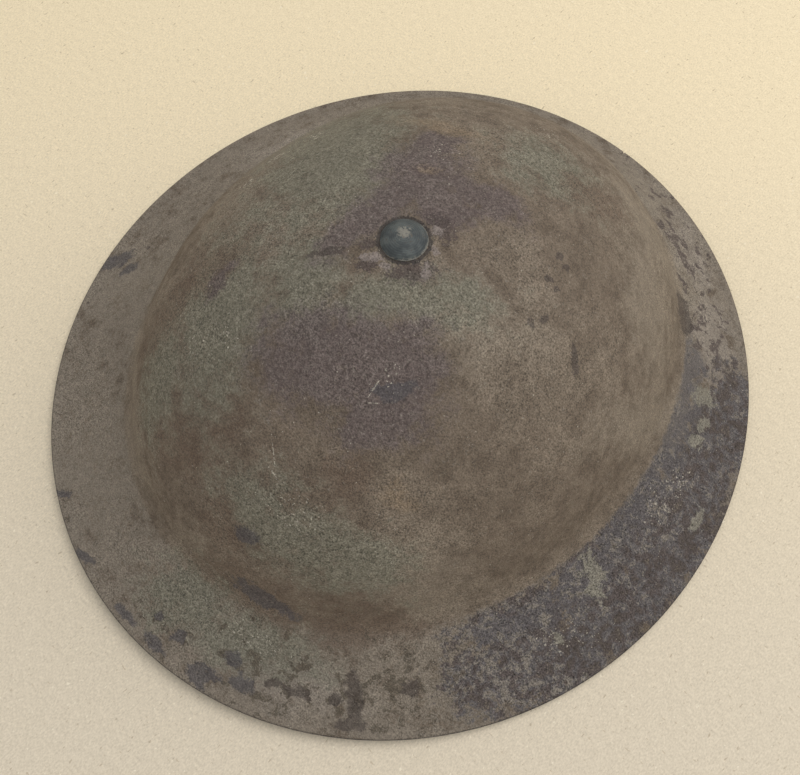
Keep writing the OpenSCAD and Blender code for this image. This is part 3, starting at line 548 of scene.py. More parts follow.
def makeTwineMaterial():
    # Two-ply cord: ridges wind round it
    material, place = startMaterial("cottonTwine", Roughness=0.95, Sheen_Weight=0.2)
    along, across, _ = axes(pieceUv(place))
    ply = maths("ABSOLUTE", maths("SINE", along * 3.2 + across * 1.6))
    dirt = noise(place, 0.3, 4.0, 0.6)
    # Painted shade: darker in the grooves between the plies
    colour = mixColour(spread(ply, 0.0, 0.7), finish["twineDark"], finish["twine"])
    colour = mixColour(spread(dirt, 0.48, 0.7, 0, 0.7), colour, finish["twineDark"])
    return endMaterial(material, ply, 0.25, Base_Color=colour)


def makeLeatherMaterial(name, halfAcross, quarterRound):
    # halfAcross: middle of a face along the section; quarterRound: a quarter of the section's length
    material, place = startMaterial(name, Roughness=0.6)
    along, across, _ = axes(pieceUv(place))
    fromMiddle = maths("PINGPONG", across - halfAcross, quarterRound)
    edge = spread(maths("DIVIDE", fromMiddle, quarterRound), 0.72, 0.97)
    hide = noise(place, 0.9, 4.0, 0.6)
    tone = noise(place, 0.11, 4.0, 0.6)
    stretched = signalOf(place.tree, "ShaderNodeCombineXYZ", {0: along * 1.1, 1: across * 0.16})
    crease = spread(noise(stretched, 1.0, 4.0, 0.6), 0.58, 0.66)
    colour = mixColour(spread(tone, 0.38, 0.64), finish["leatherDark"], finish["leather"])
    colour = mixColour(spread(hide, 0.55, 0.75) * 0.35, colour, finish["leatherWorn"])
    colour = mixColour(ragged(edge - 0.4, hide, 2.0, 0.6) * 0.7, colour, finish["leatherWorn"])
    colour = mixColour(crease * 0.6, colour, finish["leatherDark"])
    pores = signalOf(place.tree, "ShaderNodeTexVoronoi", {"Vector": place, "Scale": 1.6}, "Distance")
    return endMaterial(material, pores * 0.5 - crease, 0.18, Base_Color=colour,
                       Roughness=spread(hide, 0.35, 0.7, 0.5, 0.72))


def makeMetalMaterial(name, base, metallic, roughness, amount, scale, pit=0.08):
    material, place = startMaterial(name, Roughness=roughness, Metallic=metallic)
    stain = noise(place, 0.5, 5.0, 0.65)
    blotch = rust(place, amount, scale)
    colour = mixColour(spread(stain, 0.35, 0.65), base, tuple(v * 0.62 for v in base))
    brown = mixColour(spread(stain, 0.4, 0.6), finish["rustBrown"], finish["rustDark"])
    return endMaterial(material, stain - blotch * 0.6, pit, Base_Color=mixColour(blotch, colour, brown),
                       Metallic=spread(blotch, 0, 1, metallic, 0.0),
                       Roughness=spread(blotch, 0, 1, roughness, 0.9))


def makeCrownRivetMaterial():
    # Dark blued head with turning marks, a small pale worn spot and a chipped pale rim on one side
    material, place = startMaterial("bluedRivet", Roughness=0.5, Metallic=0.2)
    flat = vectorMaths("MULTIPLY", place, flatten)
    out = vectorMaths("LENGTH", flat)
    speckle = noise(place, 1.0, 5.0, 0.74)
    cloud = noise(place, 0.25, 4.0, 0.65)
    marks = maths("SINE", out * 9.0 + cloud * 8.0)
    colour = mixColour(spread(cloud + marks * 0.03, 0.40, 0.64), finish["rivetDark"], finish["rivetGrey"])
    fromSpot = vectorMaths("LENGTH", vectorMaths("SUBTRACT", flat, (-0.8, 0.8, 0.0)))
    worn = ragged(0.9 - fromSpot * 0.48, speckle, 5.0, 0.7)
    colour = mixColour(worn * 0.7, colour, finish["rivetPale"])
    rim = ragged((out - 7.9) * 1.6 + (axes(place)[0] * 0.08 - 0.15), speckle, 5.0, 0.4)
    colour = mixColour(rim * 0.5, colour, finish["rivetPale"])
    colour = mixColour(rust(place, 0.28, 0.5) * 0.6, colour, finish["rustDark"])
    return endMaterial(material, speckle + marks * 0.08, 0.35, Base_Color=colour,
                       Roughness=spread(speckle, 0.40, 0.62, 0.42, 0.7))


insideMaterial = makeInsideMaterial()
feltMaterial = makeFeltMaterial()
webbingMaterial = makeWebbingMaterial()
oilclothMaterial = makeOilclothMaterial()
rubberMaterial = makeRubberMaterial()
twineMaterial = makeTwineMaterial()
leatherMaterial = makeLeatherMaterial("strapLeather", 7.4, 8.5)
keeperMaterial = makeLeatherMaterial("keeperLeather", 3.6, 4.4)
platedMaterial = makeMetalMaterial("dullTin", finish["tin"], 0.85, 0.45, 0.45, 0.25)
wireMaterial = makeMetalMaterial("wireSteel", finish["wire"], 0.8, 0.48, 0.5, 0.4)
lugMaterial = makeMetalMaterial("paintedLug", finish["innerOlive"], 0.0, 0.75, 0.6, 0.35, 0.2)
rivetMaterial = makeCrownRivetMaterial()
print("materials: fittings")


# Mesh helpers

def unit(vectors):
    return vectors / np.linalg.norm(vectors, axis=-1, keepdims=True)


def roundAngles(steps):
    return np.linspace(0, 2 * math.pi, steps, endpoint=False)


def runLengths(grid, axis):
    # Distance run along that axis of a grid, with one more entry that closes the loop
    steps = np.linalg.norm(np.roll(grid, -1, axis) - grid, axis=-1).mean(1 - axis)
    return np.concatenate([[0], np.cumsum(steps)])


def buildMesh(name, parts, material, sharpAngle):
    # parts: (points in millimetres, rows by columns by 3, closed). The columns always close. The rows close
    # where closed is true, and have a cap at each end where it isn't.
    # The map pieceUv holds the distance along the rows and round the columns.
    points, faces, corners, start = [], [], [], 0
    for grid, closed in parts:
        grid = np.asarray(grid, float)
        rows, cols = grid.shape[:2]
        along, across = runLengths(grid, 0), runLengths(grid, 1)
        i, j = np.meshgrid(np.arange(rows - (not closed)), np.arange(cols), indexing="ij")
        farI, farJ = (i + 1) % rows * cols, (j + 1) % cols
        quads = np.stack([i * cols + j, farI + j, farI + farJ, i * cols + farJ], -1).reshape(-1, 4)
        u = np.stack([along[i], along[i + 1], along[i + 1], along[i]], -1)
        v = np.stack([across[j], across[j], across[j + 1], across[j + 1]], -1)
        faces += (quads + start).tolist()
        corners.append(np.stack([u, v], -1).reshape(-1, 2))
        if not closed:
            faces.append([start + k for k in reversed(range(cols))])
            faces.append([start + (rows - 1) * cols + k for k in range(cols)])
            corners.append(np.zeros((2 * cols, 2)))
        points.append(grid.reshape(-1, 3))
        start += rows * cols
    mesh = bpy.data.meshes.new(name)
    mesh.from_pydata((np.concatenate(points) * mm).tolist(), [], faces)
    uv = np.concatenate(corners).astype(np.float32).ravel()
    mesh.uv_layers.new(name="pieceUv").data.foreach_set("uv", uv)
    work = bmesh.new()
    work.from_mesh(mesh)
    bmesh.ops.recalc_face_normals(work, faces=work.faces)
    work.to_mesh(mesh)
    work.free()
    mesh.polygons.foreach_set("use_smooth", np.ones(len(mesh.polygons), bool))
    mesh.set_sharp_from_angle(angle=math.radians(sharpAngle))
    mesh.materials.append(material)
    piece = bpy.data.objects.new(name, mesh)
    scene.collection.objects.link(piece)
    return piece


def addPiece(name, parts, material, sharpAngle, slotName, body, *nodes):
    # A piece that stands for those CAD nodes, and moves with that body when one is given
    piece = buildMesh(name, parts, material, sharpAngle)
    if nodes:
        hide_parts(*nodes)
    if body:
        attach(piece, body)
    return piece


def setInside(piece, inner):
    # The faces that inner holds true for get the paint of the shell's inside
    piece.data.materials.append(insideMaterial)
    piece.data.polygons.foreach_set("material_index", inner.astype(np.int32))


def tubeAlong(path, radius, sides=12, closed=False, face=(0.31, 0.22, 0.93)):
    # Rows along the path, columns round it. Round each point the section is a circle square to the path.
    # face is a direction that the path never runs in, or one such direction for each point.
    path = np.asarray(path, float)
    tangent = unit(np.roll(path, -1, 0) - np.roll(path, 1, 0) if closed else np.gradient(path, axis=0))
    side = unit(np.cross(tangent, face))
    a = roundAngles(sides)[:, None]
    return path[:, None] + radius * (np.cos(a) * np.cross(side, tangent)[:, None] + np.sin(a) * side[:, None])


def roundedLoop(corners, radius, steps=8):
    # Closed path through corners with square turns: a quarter circle at each, and three points on each run
    corners = np.array(corners, float)
    before, after = (unit(np.roll(corners, way, 0) - corners)[:, None] for way in (1, -1))
    a = np.linspace(0, math.pi / 2, steps + 1)[:, None]
    bends = corners[:, None] + radius * (before * (1 - np.sin(a)) + after * (1 - np.cos(a)))
    u = np.array([0.25, 0.5, 0.75])[:, None]
    runs = bends[:, -1:] * (1 - u) + np.roll(bends[:, :1], -1, 0) * u
    return np.concatenate([bends, runs], 1).reshape(-1, 3)


# Shell, in millimetres

shellSizes = {
    "rimLength": 310.0, "rimWidth": 293.0, "rimLift": 4.0, "crownHeight": 112.0, "bowlLength": 251.0,
    "bowlWidth": 212.0, "bowlBack": 5.0, "sheet": 1.0, "wallEnd": 36.0, "footHeight": 20.5, "footRun": 11.5,
    "brimDish": 1.2, "edgingOut": 0.6, "holeRadius": 2.6, "around": 288,
    "bowlSteps": 84, "turnSteps": 26, "brimSteps": 22,
    # Dents: [x, y, radius, depth]. They fade out above and below these heights, over these distances.
    "dents": [[62, -60, 17, 0.9], [-20, -70, 26, 0.7], [-70, 20, 20, 0.5], [60, 60, 24, 0.5],
              [20, 85, 18, 0.6]],
    "uneven": 0.16, "dentFoot": 24, "dentFade": 20, "crownFade": 3.0,
}
halfWide, halfLong = shellSizes["bowlWidth"] / 2, shellSizes["bowlLength"] / 2
crown, sheet = shellSizes["crownHeight"], shellSizes["sheet"]


def driftAt(z):
    return shellSizes["bowlBack"] * (1 - z / crown)


def shellStations():
    # Rows of [half width, half length, height, drift to the back, lift at front and back], crown to rim
    s = shellSizes
    waist = math.sqrt(1 - (s["wallEnd"] / crown) ** 2)
    footWide, footLong = halfWide * waist + s["footRun"], halfLong * waist + s["footRun"]
    brimRun = s["rimWidth"] / 2 - footWide
    brimSlope = math.atan2(s["footHeight"] - s["sheet"] - s["edgingOut"], brimRun)
    edgeSlope = math.atan(math.tan(brimSlope) - 3 * s["brimDish"] / brimRun)
    edgeOut = s["edgingOut"] * (0.7 * math.cos(edgeSlope) + 0.65 * math.sin(edgeSlope))
    edge = np.array([s["rimWidth"] / 2 - edgeOut, s["rimLength"] / 2 - edgeOut,
                     (s["sheet"] + s["edgingOut"]) * math.cos(edgeSlope), 0, s["rimLift"]])
    foot = np.array([footWide, footLong, s["footHeight"], driftAt(s["footHeight"]), 0])
    phiEnd = math.acos(s["wallEnd"] / crown)
    phi = np.linspace(math.asin(s["holeRadius"] / halfWide), phiEnd, s["bowlSteps"])
    bowl = np.stack([halfWide * np.sin(phi), halfLong * np.sin(phi), crown * np.cos(phi),
                     driftAt(crown * np.cos(phi)), 0 * phi], -1)
    wall = bowl[-1]
    wallSlope = crown ** 2 * wall[0] / (halfWide ** 2 * s["wallEnd"])
    fall = math.tan(brimSlope)
    knee = (s["footHeight"] + fall * s["footRun"] - s["wallEnd"]) / (fall - wallSlope)
    bend = np.array([wall[0] + knee, wall[1] + knee, s["wallEnd"] - wallSlope * knee,
                     driftAt(s["footHeight"]), 0])
    u = np.linspace(0, 1, s["turnSteps"] + 1)[1:, None]
    turn = (wall * (1 - u) + bend * u) * (1 - u) + (bend * (1 - u) + foot * u) * u
    u = np.linspace(0, 1, s["brimSteps"] + 1)[1:, None]
    brim = foot * (1 - u) + edge * u - 4 * s["brimDish"] * u * (1 - u) * np.array([0, 0, 1, 0, 0])
    return np.concatenate([bowl, turn, brim]), brimSlope


def stationPoints(stations, theta):
    # x = half width cos t, y = half length sin t + drift, z = height + lift sin squared t
    c, s = np.cos(theta)[:, None], np.sin(theta)[:, None]
    wide, long, high, back, lift = stations.T
    return np.stack([wide * c, long * s + back, high + lift * s * s], -1)


def skinNormals(points):
    # Cross product of the steps down the profile and round the helmet
    return unit(np.cross(np.gradient(points, axis=1), np.roll(points, -1, 0) - np.roll(points, 1, 0)))


def dentDepth(points):
    # Sum of round hollows, each deepest at its middle and smooth at its edge, and a slow unevenness
    s, (x, y, z) = shellSizes, np.moveaxis(points, -1, 0)
    depth = s["uneven"] * (np.sin(x / 17 + 1.3) * np.sin(y / 21 + 0.4) + 0.6 * np.sin(x / 9.3 - y / 11.0))
    for dx, dy, radius, deep in s["dents"]:
        depth += deep * np.exp(-((x - dx) ** 2 + (y - dy) ** 2) / radius ** 2)
    fade = np.clip((z - s["dentFoot"]) / s["dentFade"], 0, 1) * np.clip((crown - z) / s["crownFade"], 0, 1)
    return depth * fade


stations, brimSlope = shellStations()


def makeShell():
    outer = stationPoints(stations, roundAngles(shellSizes["around"]))
    normals = skinNormals(outer)
    outer = outer - normals * dentDepth(outer)[..., None]
    grid = np.concatenate([outer[:, ::-1], outer - normals * sheet], 1)
    piece = addPiece("shellPressing", [(grid, True)], paintMaterial, 60, "painted_steel", "root", "shell")
    setInside(piece, np.arange(len(piece.data.polygons)) % (2 * len(stations)) >= len(stations))


# Shared sizes of the fittings, in millimetres

fit = {
    "touch": 0.1, "slip": 0.3, "seat": 0.3,
    "edgingWidth": 4.4, "edgingButt": 0.8, "edgingSteps": 361,
    "crownHead": 16.0, "crownHeadHeight": 3.1, "crownShank": 5.0, "washer": 18.0, "washerThick": 1.0,
    "felt": 62.0, "feltThick": 1.2, "cradleWidth": 20.0, "cradleThick": 1.0, "cradleLap": 6.0,
    "ring": 76.0, "ringHole": 30.0, "ringThick": 8.2,
    "bandFoot": 31.0, "bandHeight": 22.0, "outerBandThick": 0.6, "innerBandThick": 1.4, "sweatThick": 1.0,
    "stitches": 96, "stitchRadius": 0.32, "tube": 12.7, "rivetHead": 0.4, "netThick": 1.4, "netHole": 11.0,
    "lugOut": 3.0, "lugArm": 6.0, "lugThick": 1.0, "lugHead": 6.8, "lugHeadHeight": 0.95, "lugShank": 3.0,
    "wire": 2.6, "bailReach": 12.0, "strapDrop": 8.0, "eyeClear": 0.3,
    "strapWidth": 16.0, "strapThick": 1.8, "foldLength": 11.0, "templeRadius": 8.0, "cheekLength": 60.0,
    "jawRadius": 50.0, "twistLength": 26.0, "tailLength": 88.0, "restGap": 0.6, "blendEnd": 74.8,
    "buckleAt": 24.0, "buckleLength": 12.0, "buckleWire": 2.0,
    "frameBend": 1.6, "barBend": 1.5, "barSink": 0.2,
    "keeperAt": 54.0, "keeperLength": 8.0, "keeperThick": 1.2, "keeperBend": 1.1,
}


def blendPoints(a, b, share):
    return a + (b - a) * share


def easeInOut(u):
    return u * u * (3 - 2 * u)


# Rim edging

def makeEdging():
    # Folded strip. Its inner edge is crimped flat onto the brim, and its ends butt at the back.
    butt = fit["edgingButt"] / shellSizes["rimLength"] * 2
    theta = np.linspace(math.pi / 2 + butt / 2, math.pi * 5 / 2 - butt / 2, fit["edgingSteps"])
    skin = stationPoints(stations[-3:], theta)
    edge = skin[:, -1]
    out = unit(edge - skin[:, -2])
    down = unit(np.cross(out, np.gradient(edge, axis=0)))
    down *= np.where(down[:, 2:] > 0, -1, 1)
    wide, stand = fit["edgingWidth"], shellSizes["edgingOut"]
    # The section, from the lips under the brim round the nose and back above it: [outwards, down]
    turns = np.linspace(-math.pi / 2, math.pi / 2, 9)
    nose = [(0.7 * stand * math.cos(a), sheet / 2 + (sheet / 2 + stand) * math.sin(a)) for a in turns]
    lips = [(-wide, -0.02), (-wide + 0.8, -0.14), (-wide + 1.7, -0.32), (-1.4, -0.52), (-0.7, -stand)]
    low = [(-1.6, sheet + stand), (-wide + 0.5, sheet + stand - 0.05), (-wide, sheet + 0.4)]
    hollow = [(-wide, sheet + 0.05), (0.1, sheet + 0.05), (0.1, -0.05)]
    grid = np.stack([edge + q[0] * out + q[1] * down for q in lips + nose + low + hollow], 1)
    # The strip's inner edge wanders a little, and is knocked in places
    wander = 0.25 * np.sin(theta * 23 + 1) + 0.15 * np.sin(theta * 61)
    grid[:, :3] += (out * wander[:, None])[:, None]
    material = makePaintMaterial("edgingPaint", wide - 0.5)
    piece = addPiece("rimEdging", [(grid, False)], material, 50, "edging_steel", "root", "rim_edging")
    face = np.arange(len(piece.data.polygons))
    setInside(piece, (face % grid.shape[1] >= len(lips + nose) - 1) & (face < len(face) - 2))


# Rivets of the shell

def crownDrop(r):
    return r * r * crown / (2 * halfWide * halfWide)


def turnProfile(profile, steps=64):
    # Rows down the profile of [distance from the axis, height], columns round the axis
    t = roundAngles(steps)
    r, z = np.array(profile)[:, 0:1], np.array(profile)[:, 1:2]
    return np.stack([r * np.cos(t), r * np.sin(t), z + 0 * t], -1)


# Head of each rivet: how far its dome stays inside its edge and its height, the lip under the dome, the step
# under the lip, the dome's power (below 1 for a full shoulder). Its tail: radius, drop under the last plate.
crownRivet = {"edge": 0.25, "dip": 0.2, "lip": 0.32, "under": 0.1, "power": 0.72, "rings": 16, "around": 72,
              "lift": 0.4, "tail": [(4.5, 0.0), (4.2, 0.8), (3.0, 1.5), (0.01, 1.8)]}
lugRivet = {"edge": 0.15, "dip": 0.1, "lip": 0.12, "under": 0.1, "power": 0.7, "rings": 10, "around": 48,
            "tail": [(2.5, 0.0), (2.4, 0.6), (0.01, 0.9)]}


def rivetGrid(shape, radius, height, seat, top, shank, shankTop, tail):
    # From the middle of the domed head down its edge and the shank to the middle of the spread tail
    u = np.linspace(0, 1, shape["rings"] + 1)
    drop = (height - shape["dip"]) * (1 - (1 - u ** 2) ** shape["power"])
    head = np.stack([np.maximum((radius - shape["edge"]) * u, 0.01), top - drop], -1)
    below = [(radius, seat + shape["lip"]), (radius - shape["under"], seat), (shank, shankTop), (shank, tail)]
    below += [(wide, tail - low) for wide, low in shape["tail"]]
    return turnProfile(np.concatenate([head, below]), shape["around"])


longDepth = sheet + 2 * fit["slip"] + fit["feltThick"]
crossDepth = longDepth + fit["cradleThick"] + fit["touch"]
washerTop = crown - crossDepth - fit["cradleThick"] - crownDrop(fit["washer"] / 2) - fit["slip"]


def makeCrownRivet():
    r, height = fit["crownHead"] / 2, fit["crownHeadHeight"]
    seat = crown - crownDrop(r) + fit["touch"]
    grid = rivetGrid(crownRivet, r, height, seat, seat + crownRivet["lift"] + height, fit["crownShank"] / 2,
                     crown + fit["touch"] / 2, washerTop - fit["washerThick"])
    # The head's top is worn unevenly
    x, y = grid[..., 0], grid[..., 1]
    worn = 0.10 * np.sin(x * 0.9 + 1) * np.sin(y * 0.8) + 0.06 * np.sin(x * 2.1 - y * 1.7)
    grid[..., 2] -= np.where(grid[..., 2] > seat + 0.5, 0.1 + worn, 0)
    addPiece("crownRivet", [(grid, False)], rivetMaterial, 50, "blued_rivet", "root", "crown_rivet")


footWide, footLong, footHigh = stations[shellSizes["bowlSteps"] + shellSizes["turnSteps"] - 1][:3]
edgeWide, edgeHigh = stations[-1][0], stations[-1][2]
brimWide, dish = edgeWide - footWide, 4 * shellSizes["brimDish"]
lugShare = fit["lugOut"] / brimWide
lugX = footWide + fit["lugOut"]
lugZ = blendPoints(footHigh, edgeHigh, lugShare) - dish * lugShare * (1 - lugShare)
lugSlope = math.atan((footHigh - edgeHigh + dish * (1 - 2 * lugShare)) / brimWide)
eyeLow = -sheet - fit["seat"] - fit["lugThick"] - fit["wire"] / 2 - fit["eyeClear"]
pivotX = lugX - fit["lugArm"] * math.cos(lugSlope) + eyeLow * math.sin(lugSlope)
pivotZ = lugZ + fit["lugArm"] * math.sin(lugSlope) + eyeLow * math.cos(lugSlope)


def lugPlaces(points, side):
    # From the lug's own frame, on the brim's outer face, to the helmet's
    x = lugX + points[..., 0] * math.cos(lugSlope) + points[..., 2] * math.sin(lugSlope)
    z = lugZ - points[..., 0] * math.sin(lugSlope) + points[..., 2] * math.cos(lugSlope)
    return np.stack([side * x, points[..., 1], z], -1)


def makeLugRivet(name, side, node):
    r, high = fit["lugHead"] / 2, fit["lugHeadHeight"]
    deep = sheet + fit["seat"] + 2 * fit["lugThick"] + fit["touch"]
    grid = rivetGrid(lugRivet, r, high, 0.0, high + fit["touch"], fit["lugShank"] / 2, 0.0, -deep)
    grid = lugPlaces(grid, side)
    addPiece(name, [(grid, False)], paintMaterial, 50, "painted_steel", "root", node)


# Crown padding

def bowlOver(x, y, depth):
    # Height of the bowl over a point, that depth under its outer face
    z = crown - depth + 0 * x
    for _ in range(4):
        across, along = x / (halfWide - depth), (y - driftAt(z)) / (halfLong - depth)
        z = (crown - depth) * np.sqrt(1 - across ** 2 - along ** 2)
    return z


def crownLining(section, steps=120):
    # Ring laid in the bowl, from a closed section of [distance from the axis, depth]
    t = roundAngles(steps)[:, None]
    r, d = np.array(section)[None, :, 0], np.array(section)[None, :, 1]
    x, y = r * np.cos(t), r * np.sin(t)
    return np.stack([x, y, bowlOver(x, y, d)], -1)


def makeCrownFelt():
    r, top, soft = fit["felt"] / 2, sheet + fit["slip"], 0.3
    radii = np.linspace(2.8, r - soft, 14)
    section = [(q, top) for q in radii] + [(r, top + soft), (r, top + fit["feltThick"] - soft)]
    section += [(q, top + fit["feltThick"]) for q in radii[::-1]]
    grid = crownLining(section)
    piece = addPiece("crownFelt", [(grid, True)], feltMaterial, 40, "felt", "root", "crown_felt")
    2 * r * mm
    2 * r * mm
    math.pi * r * r * mm * mm


def makeCrownRing():
    inner, outer, thick = fit["ringHole"] / 2, fit["ring"] / 2, fit["ringThick"]
    top = crossDepth + fit["cradleThick"] + fit["slip"]
    # Rounded section: a superellipse
    a = roundAngles(40)
    c, s = np.cos(a), np.sin(a)
    middle, half = (inner + outer) / 2, (outer - inner) / 2
    r = middle + half * np.sign(c) * np.abs(c) ** 0.62
    d = top + thick / 2 + thick / 2 * np.sign(s) * np.abs(s) ** 0.7
    grid = crownLining(np.stack([r, d], -1))
    piece = addPiece("crownRing", [(grid, True)], rubberMaterial, 40, "rubber", "root", "crown_ring")


bandDepth = sheet + fit["slip"] + fit["touch"]
cradleEnd = math.acos((fit["bandFoot"] + fit["bandHeight"] - fit["cradleLap"]) / (crown - longDepth))


def ribbonSection(width, thick, corner, steps=8):
    # Closed section of a flat strap, points [across, through]
    a, b = width / 2 - corner, thick / 2
    face = np.linspace(-a, a, steps)
    turns = np.linspace(math.pi / 2, -math.pi / 2, 5)[1:-1]
    side = [(a + corner * math.cos(q), b * math.sin(q)) for q in turns]
    points = [(q, b) for q in face] + side + [(q, -b) for q in face[::-1]]
    return np.array(points + [(-q[0], q[1]) for q in side[::-1]])


def makeCradleStrap(name, node, alongBack):
    # Strap laid in the bowl. The cross strap dips under the long one, where they meet.
    phi = np.linspace(-cradleEnd, cradleEnd, 121)[:, None]
    section = ribbonSection(fit["cradleWidth"], fit["cradleThick"], 0.4)
    w, d = section[None, :, 0], section[None, :, 1] + fit["cradleThick"] / 2
    lap = np.clip(2 - np.abs(halfWide * np.sin(phi)) / fit["cradleWidth"], 0, 1)
    d = d + longDepth + (0 if alongBack else (crossDepth - longDepth) * easeInOut(lap))
    acrossHalf, alongHalf = (halfWide, halfLong) if alongBack else (halfLong, halfWide)
    k = np.sqrt(1 - (w / (acrossHalf - d)) ** 2)
    z, along = (crown - d) * k * np.cos(phi), (alongHalf - d) * k * np.sin(phi)
    x, y = (-w + 0 * phi, along) if alongBack else (along, w)
    grid = np.stack([x, y + driftAt(z), z], -1)
    addPiece(name, [(grid, False)], webbingMaterial, 40, "webbing", "root", node)


# Headband

def bandBase(t, v):
    low, high = fit["bandFoot"], fit["bandFoot"] + fit["bandHeight"]

    def oval(z):
        share = math.sqrt(1 - (z / (crown - bandDepth)) ** 2)
        return np.stack([(halfWide - bandDepth) * share * np.cos(t),
                         (halfLong - bandDepth) * share * np.sin(t) + driftAt(z), z + 0 * t], -1)

    return blendPoints(oval(low), oval(high), np.asarray(v)[..., None])


def bandNormal(t):
    step = math.radians(1)
    along = bandBase(t + step, 0.5) - bandBase(t - step, 0.5)
    return unit(np.cross(along, bandBase(t, 1.0) - bandBase(t, 0.0)))


def bandPoint(t, v, off):
    # Point at share v of the band's height, off inside its outer face, level with it
    n = bandNormal(t)
    flat = n * np.array([1, 1, 0])
    return bandBase(t, v) - np.asarray(off)[..., None] * flat / (flat ** 2).sum(-1, keepdims=True)


tubeOff = fit["outerBandThick"] + fit["touch"] + fit["tube"] / 2
innerOff = tubeOff + fit["tube"] / 2 + fit["touch"]
sweatOff = innerOff + fit["innerBandThick"] + fit["slip"] + fit["rivetHead"] + fit["touch"]


def bandGrid(section, steps=288, ripple=None):
    t = roundAngles(steps)[:, None] + np.zeros(len(section))
    v = np.array(section)[None, :, 0] + 0 * t
    off = np.array(section)[None, :, 1] + 0 * t
    if ripple is not None:
        off = off + ripple(t, v)
    return bandPoint(t, v, off)


def flatSection(start, thick, soft):
    # Section of a plain band from its foot to its top, with softened edges
    shares, low, high = (soft, 0.25, 0.5, 0.75, 1 - soft), start + thick * 0.3, start + thick * 0.7
    top = [(share, start + thick) for share in shares[::-1]]
    return [(share, start) for share in shares] + [(1, low), (1, high)] + top + [(0, high), (0, low)]


def makeBands():
    grid = bandGrid(flatSection(0, fit["outerBandThick"], 0.01))
    addPiece("outerBand", [(grid, True)], platedMaterial, 50, "plated_steel", "root", "liner_outer_band")
    grid = bandGrid(flatSection(innerOff, fit["innerBandThick"], 0.03))
    inner = addPiece("innerBand", [(grid, True)], feltMaterial, 70, "felt", "root", "liner_inner_band")
    middle = bandPoint(np.linspace(0, 2 * math.pi, 200), 0.5, innerOff)


def makeSweatband():
    # Oilcloth down the inside of the felt, folded out under its lower edge, and puckered between stitches
    high = fit["bandHeight"]
    fold = fit["sweatThick"] / high
    inside = [(v, sweatOff + fit["sweatThick"]) for v in (0.95, 0.75, 0.5, 0.25, 0.05, -fold)]
    below = [(-1.7 * fold, sweatOff + 0.7), (-2 * fold, sweatOff), (-2 * fold, innerOff + 0.4),
             (-1.8 * fold, innerOff)]
    back = [(-1.2 * fold, innerOff), (-fold, innerOff + 0.3), (-fold, sweatOff - 0.6),
            (-0.5 * fold, sweatOff)]
    front = [(v, sweatOff) for v in (0.25, 0.5, 0.75, 0.97)] + [(1, sweatOff + 0.3), (1, sweatOff + 0.75)]

    def ripple(t, v):
        worn = 0.16 * np.sin(t * 37 + 3 * v) * np.sin(t * 5) + 0.22 * np.sin(t * 12) * np.sin(v * 3)
        return np.clip(worn, 0, 0.5)

    grid = bandGrid(inside + below + back + front, 576, ripple)
    addPiece("sweatBand", [(grid, True)], oilclothMaterial, 70, "oilcloth", "root", "sweatband")
    # One row of stitches under the top edge and one over the fold
    stitches = []
    rise = np.array([-0.35, 0.12, 0.2, 0.12, -0.35])
    for share in (0.90, 0.10):
        for k in range(fit["stitches"]):
            t = (np.linspace(0.12, 0.80, 5) + k) * 2 * math.pi / fit["stitches"]
            path = bandPoint(t, share + 0 * t, sweatOff + fit["sweatThick"] + 0.30 + rise)
            stitches.append((tubeAlong(path, fit["stitchRadius"], 6), False))
    addPiece("sweatStitches", stitches, twineMaterial, 40, "twine", "root")


# Netting

netHigh = crown - crossDepth - fit["cradleThick"] - fit["ringThick"] - 2 * fit["slip"] - 2 * fit["touch"]
netFoot = fit["bandFoot"] + fit["bandHeight"] + fit["slip"]
netOff, netHalf = innerOff + fit["innerBandThick"] / 2, fit["netThick"] / 2
netShare = math.sqrt(1 - (netFoot / netHigh) ** 2)
netWide = (bandPoint(np.array(0.0), 1.0, netOff)[0] + netHalf) / netShare
netLong = (bandPoint(np.array(math.pi / 2), 1.0, netOff)[1] - driftAt(netFoot) + netHalf) / netShare
netting = {
    "strands": 30, "rows": 5, "twine": 1.25, "knot": 2.1, "topCord": 1.4, "footCord": 1.36,
    # Angles in radians by which the strands and the hems keep off the cap's edges
    "topTuck": 0.02, "footTuck": 0.01, "topHem": 0.012, "footHem": 0.008,
    "slack": 0.12, "spacing": 0.92, "smallKnotsFrom": 0.75, "smallKnot": 0.8, "strandSteps": 46,
}


def netPoint(phi, t, deep):
    z = (netHigh - deep) * np.cos(phi)
    return np.stack([(netWide - deep) * np.sin(phi) * np.cos(t),
                     (netLong - deep) * np.sin(phi) * np.sin(t) + driftAt(z), z], -1)


